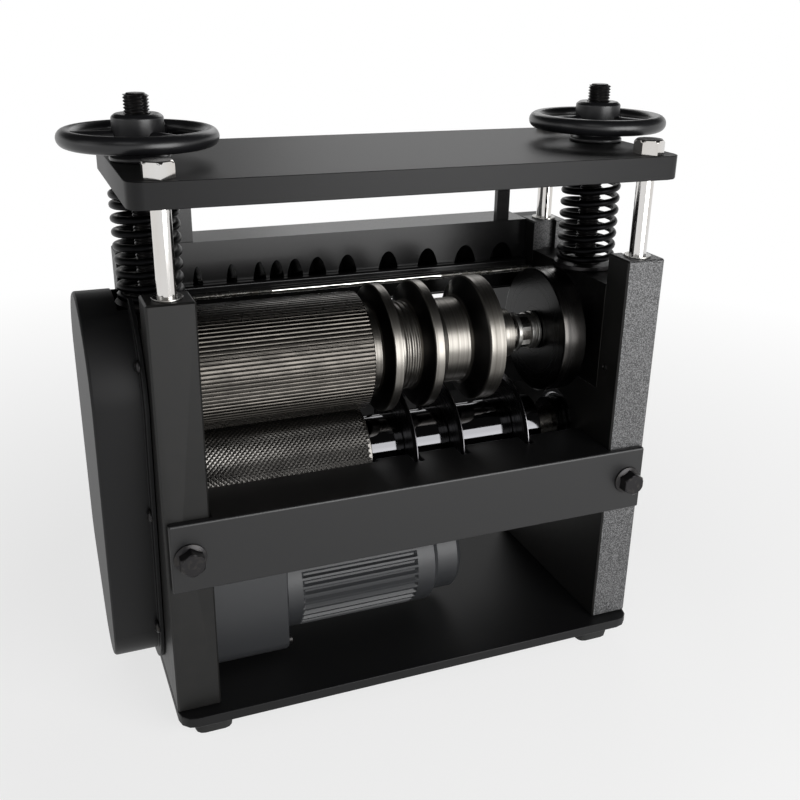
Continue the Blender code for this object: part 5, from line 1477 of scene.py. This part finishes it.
@dataclass
class Drive:
    """The gearbox and the motor on it. The motor's outline: X, radius, share of the ribs' depth."""

    bench: Bench
    face: float = -89.7
    corner: float = 36.5
    ribs: int = 40
    rib_depth: float = 2.4
    outline: tuple = (
        (-89.4, 0, 0), (-89.4, 42, 0), (-78.0, 42, 0), (-76.0, 42, 1), (12.0, 42, 1), (14.0, 42, 0),
        (28.0, 42, 0), (28.6, 41.4, 0), (32.6, 36.4, 0), (33.4, 36, 0), (49.6, 36, 0), (53.0, 33.6, 0),
        (54.6, 30.5, 0), (54.6, 0, 0),
    )

    def build(self) -> None:
        """Build the ribbed motor, and dress the gearbox and its screws."""
        self.bench.recast("gearbox", MOTOR_ENAMEL, "frame", "motor_grey", SOFT_ARRIS)
        self.bench.put("motor_body_ribbed", self.motor(), MOTOR_ENAMEL, "frame", "motor_grey", "motor_body")
        corners = [(y, z) for y in (-self.corner, self.corner) for z in (-self.corner, self.corner)]
        for number, (y, z) in enumerate(corners, start=1):
            skin = GEARBOX_SCREW.skin(Axis.X, self.face, 1, (MOTOR_AXIS[0] + y, MOTOR_AXIS[1] + z))
            self.bench.put(f"gearbox_screw_{number}", skin, BLACK_OXIDE, "frame", "black_oxide")
        LOG.info("gearbox and motor built")

    def motor(self) -> Skin:
        """Make the motor's body: the radius at place x and angle a is R(x) less ribs(x) * g(a).

        g(a) is 0 on a rib and 1 between ribs, a smoothed square wave.

        Returns:
            The closed surface.
        """
        table = np.array(self.outline, float)
        samples, steepness = 8 * self.ribs, 1.6
        wave = np.sin(np.arange(samples) / samples * FULL_TURN * self.ribs)
        gap = np.clip(0.5 + steepness * wave, 0, 1)
        return around(Axis.X, table[:, 0], table[:, 1:2] - self.rib_depth * table[:, 2:] * gap, MOTOR_AXIS)


@dataclass
class ControlBox:
    """The box behind the right casting, with its panel, buttons and power inlet."""

    bench: Bench
    middle: tuple = (183.0, 239.0)
    panel_face: float = 143.6
    screw_x: float = 25.5
    screw_z: float = 59.5
    stem: float = 5.5
    button_radius: float = 7.5
    button_height: float = 7.0
    dish: tuple = ((0.0, 1.2), (0.7, 3.0))
    mushroom_stem: float = 7.5
    mushroom_radius: float = 17.0
    mushroom_dome: float = 7.0
    mushroom_skirt: tuple = ((13.0, 7.5), (13.0, 13.5), (10.0, 16.6), (8.0, 17.0))
    pin_places: tuple = ((-6.0, -1.5), (6.0, -1.5), (0.0, 2.5))
    pin_half: tuple = (0.9, 2.0)
    pin_length: float = 12.0
    pin_back: float = 3.0

    def build(self) -> None:
        """Dress the box and panel, and build the controls and small parts on it."""
        bench = self.bench
        bench.recast("control_box", SHEET_POWDER, "frame", "black_paint", SHEET_ARRIS)
        bench.recast("control_panel", BLACK_PLASTIC, "frame", "black_plastic", MOULD_ARRIS)
        bench.recast("power_inlet", BLACK_PLASTIC, "frame", "black_plastic", MOULD_ARRIS)
        places = [(x, z) for z in (-self.screw_z, self.screw_z) for x in (-self.screw_x, self.screw_x)]
        for number, (x, z) in enumerate(places, start=1):
            skin = PANEL_SCREW.skin(Axis.Y, self.panel_face, 1, (self.middle[0] + x, self.middle[1] + z))
            bench.put(f"panel_screw_{number}", skin, BRIGHT_STEEL, "frame", "bright_steel")
        self.build_button("start", GREEN_PLASTIC, "green_plastic")
        self.build_button("stop", RED_PLASTIC, "red_plastic")
        self.build_mushroom()
        self.build_pins()
        LOG.info("control box built")

    @staticmethod
    def reach(node: str) -> tuple:
        """Read where a CAD node on the panel lies.

        Args:
            node: the node.

        Returns:
            The X and Z of its middle, and the Y of its inner and outer end, in machine millimetres.
        """
        low, high = (np.array(corner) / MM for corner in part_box(node))
        middle = (low + high) / 2
        return (middle[0], middle[2]), low[1] - SHAFT_SET_BACK, high[1] - SHAFT_SET_BACK

    def build_button(self, name: str, finish: Finish, slot: str) -> None:
        """A push button with a dished face.

        Args:
            name: "start" or "stop".
            finish: its plastic.
            slot: its slot in the record.
        """
        node, radius = name + "_button", self.button_radius
        centre, inside, top = self.reach(node)
        shoulder = top - self.button_height
        rows = [(inside, self.stem), (shoulder, self.stem), (shoulder, radius), (top, radius)]
        rows += [(top - depth, radius - inset) for depth, inset in self.dish]
        skin = lathe(Axis.Y, rows, centre, SOFT_EDGE, Facets.KNOB)
        self.bench.put(node + "_cap", skin, finish, name + "_control", slot, node)

    def build_mushroom(self) -> None:
        """The emergency stop: a domed head whose edge is a quarter ellipse, on a round stem."""
        node = "emergency_stop_button"
        centre, inside, top = self.reach(node)
        angle = np.linspace(0, math.pi / 2, 14)[:-1]
        height, radius = self.mushroom_dome, self.mushroom_radius
        dome = np.stack([top + height * (np.sin(angle) - 1), radius * np.cos(angle)], axis=1)
        skirt = [(top - depth, width) for depth, width in self.mushroom_skirt]
        skin = lathe(Axis.Y, [(inside, self.mushroom_stem), *skirt, *dome], centre, TIGHT_EDGE)
        self.bench.put(node + "_head", skin, RED_PLASTIC, "mushroom_control", "red_plastic", node)

    def build_pins(self) -> None:
        """Three flat pins in the power inlet."""
        (x, z), inside, _outside = self.reach("power_inlet")
        back, (wide, high) = inside + self.pin_back, self.pin_half
        front, places = back + self.pin_length, [(x + dx, z + dz) for dx, dz in self.pin_places]
        pins = [block((px - wide, back, pz - high), (px + wide, front, pz + high)) for px, pz in places]
        self.bench.put("power_inlet_pins", joined(*pins), BRIGHT_STEEL, "frame", "bright_steel")


# ---------------------------------------------------------------- studio


@dataclass(frozen=True)
class Lamp:
    """A rectangular soft lamp: its place, target and size in metres, and its power in watts."""

    name: str
    place: tuple
    target: tuple
    size: tuple
    power: float

    def build(self) -> None:
        """Hang the lamp and point it at its target."""
        light = bpy.data.lights.new(self.name, "AREA")
        light.shape = "RECTANGLE"
        light.size, light.size_y = self.size
        light.energy = self.power
        made = bpy.data.objects.new(self.name, light)
        made.location = self.place
        made.rotation_euler = (Vector(self.target) - Vector(self.place)).to_track_quat("-Z", "Y").to_euler()
        bpy.context.scene.collection.objects.link(made)


@dataclass
class Studio:
    """A pale floor, a plain pale horizon under a darker ceiling, soft lamps and the camera.

    Sizes here are in metres and degrees. A ramp gives where it starts and ends, then its values.
    """

    lamps: tuple = (
        Lamp("front_softbox", (0.46, -1.22, 0.47), (0.02, -0.02, 0.22), (1.0, 0.90), 17.0),
        Lamp("left_high_softbox", (-0.72, -1.10, 1.50), (-0.05, -0.03, 0.16), (0.8, 0.6), 2.0),
        Lamp("left_softbox", (-1.4, -0.2, 0.8), (-0.1, 0.0, 0.2), (0.7, 0.9), 1.6),
        Lamp("rear_softbox", (0.7, 1.3, 1.1), (0.0, 0.0, 0.2), (0.9, 0.6), 3.5),
    )
    paper: str = "#f1f1f0"
    white: str = "#ffffff"
    glow_ramp: tuple = (0.30, 1.10, 0.72, 1.0)
    wall_ramp: tuple = (0.18, 0.32, 1.0, 0.03)
    floor_radius: float = 5.0
    floor_sides: int = 96
    camera_place: tuple = (-0.252229, -0.651630, 0.488120)
    yaw: float = 22.145
    pitch: float = -22.273
    roll: float = 1.033
    lens: float = 45.18
    sensor: float = 36.0
    nearest: float = 0.01

    def build(self) -> None:
        """Build the floor, the world, the lamps and the camera."""
        self.build_floor()
        self.build_world()
        for lamp in self.lamps:
            lamp.build()
        self.build_camera()
        LOG.info("studio built")

    @staticmethod
    def ramp(tree: Tree, limits: tuple, value: Socket) -> Socket:
        """Map a value that runs between two limits onto two others, and hold it beyond them.

        Args:
            tree: the tree that the node goes into.
            limits: the value's two limits, and what they become.
            value: the value.

        Returns:
            The socket with the result.
        """
        settings = dict(zip(("From Min", "From Max", "To Min", "To Max"), limits))
        return add_node(tree, "MapRange", settings, {"Value": value}).outputs[0]

    def paper_material(self) -> Material:
        """Make the floor's paper: matt, but glowing white to the eye, in reflections and through glass.

        The glow is a little less near the object, so that its shadow shows there.

        Returns:
            The material.
        """
        paper = bpy.data.materials.new("matt_white_paper")
        paper.use_nodes = True
        tree = paper.node_tree
        tree.nodes.clear()
        path = add_node(tree, "LightPath", {}, {}).outputs
        seen = path["Is Camera Ray"]
        for name in ("Is Glossy Ray", "Is Transmission Ray"):
            seen = add_node(tree, "Math", {"operation": "MAXIMUM"}, {0: seen, 1: path[name]}).outputs[0]
        place = add_node(tree, "TexCoord", {}, {}).outputs["Object"]
        away = add_node(tree, "VectorMath", {"operation": "LENGTH"}, {0: place}).outputs["Value"]
        links = {0: seen, 1: self.ramp(tree, self.glow_ramp, away)}
        share = add_node(tree, "Math", {"operation": "MULTIPLY"}, links).outputs[0]
        matt = add_node(tree, "BsdfDiffuse", {"Color": linear(self.paper)}, {}).outputs[0]
        glow = add_node(tree, "Emission", {"Color": linear(self.white), "Strength": 1.0}, {}).outputs[0]
        mix = add_node(tree, "MixShader", {}, {0: share, 1: matt, 2: glow}).outputs[0]
        add_node(tree, "OutputMaterial", {}, {"Surface": mix})
        return paper

    def build_floor(self) -> None:
        """A disc of pale paper."""
        sides = self.floor_sides
        angle = np.arange(sides) / sides * FULL_TURN
        points = np.stack([np.cos(angle), np.sin(angle), np.zeros(sides)], axis=1) * self.floor_radius
        mesh = bpy.data.meshes.new("studio_floor")
        mesh.from_pydata(points.tolist(), [], [list(range(sides))])
        mesh.materials.append(self.paper_material())
        made = bpy.data.objects.new("studio_floor", mesh)
        bpy.context.scene.collection.objects.link(made)

    def build_world(self) -> None:
        """White near the horizon and a dim grey overhead, by the height of the direction."""
        world = bpy.data.worlds.new("studio_walls")
        bpy.context.scene.world = world
        world.use_nodes = True
        tree = world.node_tree
        direction = add_node(tree, "TexCoord", {}, {}).outputs["Generated"]
        height = add_node(tree, "SeparateXYZ", {}, {"Vector": direction}).outputs["Z"]
        walls = tree.nodes["Background"]
        walls.inputs["Color"].default_value = linear(self.white)
        tree.links.new(self.ramp(tree, self.wall_ramp, height), walls.inputs["Strength"])

    def build_camera(self) -> None:
        """The camera at the photograph's viewing angle, worked out from its straight edges."""
        yaw, pitch, roll = (math.radians(angle) for angle in (self.yaw, self.pitch, self.roll))
        ahead = Vector((math.sin(yaw) * math.cos(pitch), math.cos(yaw) * math.cos(pitch), math.sin(pitch)))
        level = Vector((math.cos(yaw), -math.sin(yaw), 0))
        upright = level.cross(ahead)
        right = math.cos(roll) * level + math.sin(roll) * upright
        up = math.cos(roll) * upright - math.sin(roll) * level
        data = bpy.data.cameras.new("photo_camera")
        data.lens = self.lens
        data.sensor_width = self.sensor
        data.clip_start = self.nearest
        camera = bpy.data.objects.new("photo_camera", data)
        place = Vector(self.camera_place) + Vector((0, SHAFT_SET_BACK * MM, 0))
        rows = [(right[k], up[k], -ahead[k], place[k]) for k in range(3)]
        camera.matrix_world = Matrix((*rows, (0, 0, 0, 1)))
        bpy.context.scene.collection.objects.link(camera)
        bpy.context.scene.camera = camera


def main() -> None:
    logging.basicConfig(level=logging.INFO, format="%(message)s")
    bpy.context.scene.view_settings.view_transform = "Standard"
    bench = Bench()
    for kind in (
        Castings, Crossbars, TopWorks, Carriage, UpperShaft, LowerShaft, GearTrain, InletGuide, Drive,
        ControlBox,
    ):
        kind(bench).build()
    Studio().build()
    LOG.info("%d pieces built", bench.count)


if __name__ == "__main__":
    main()
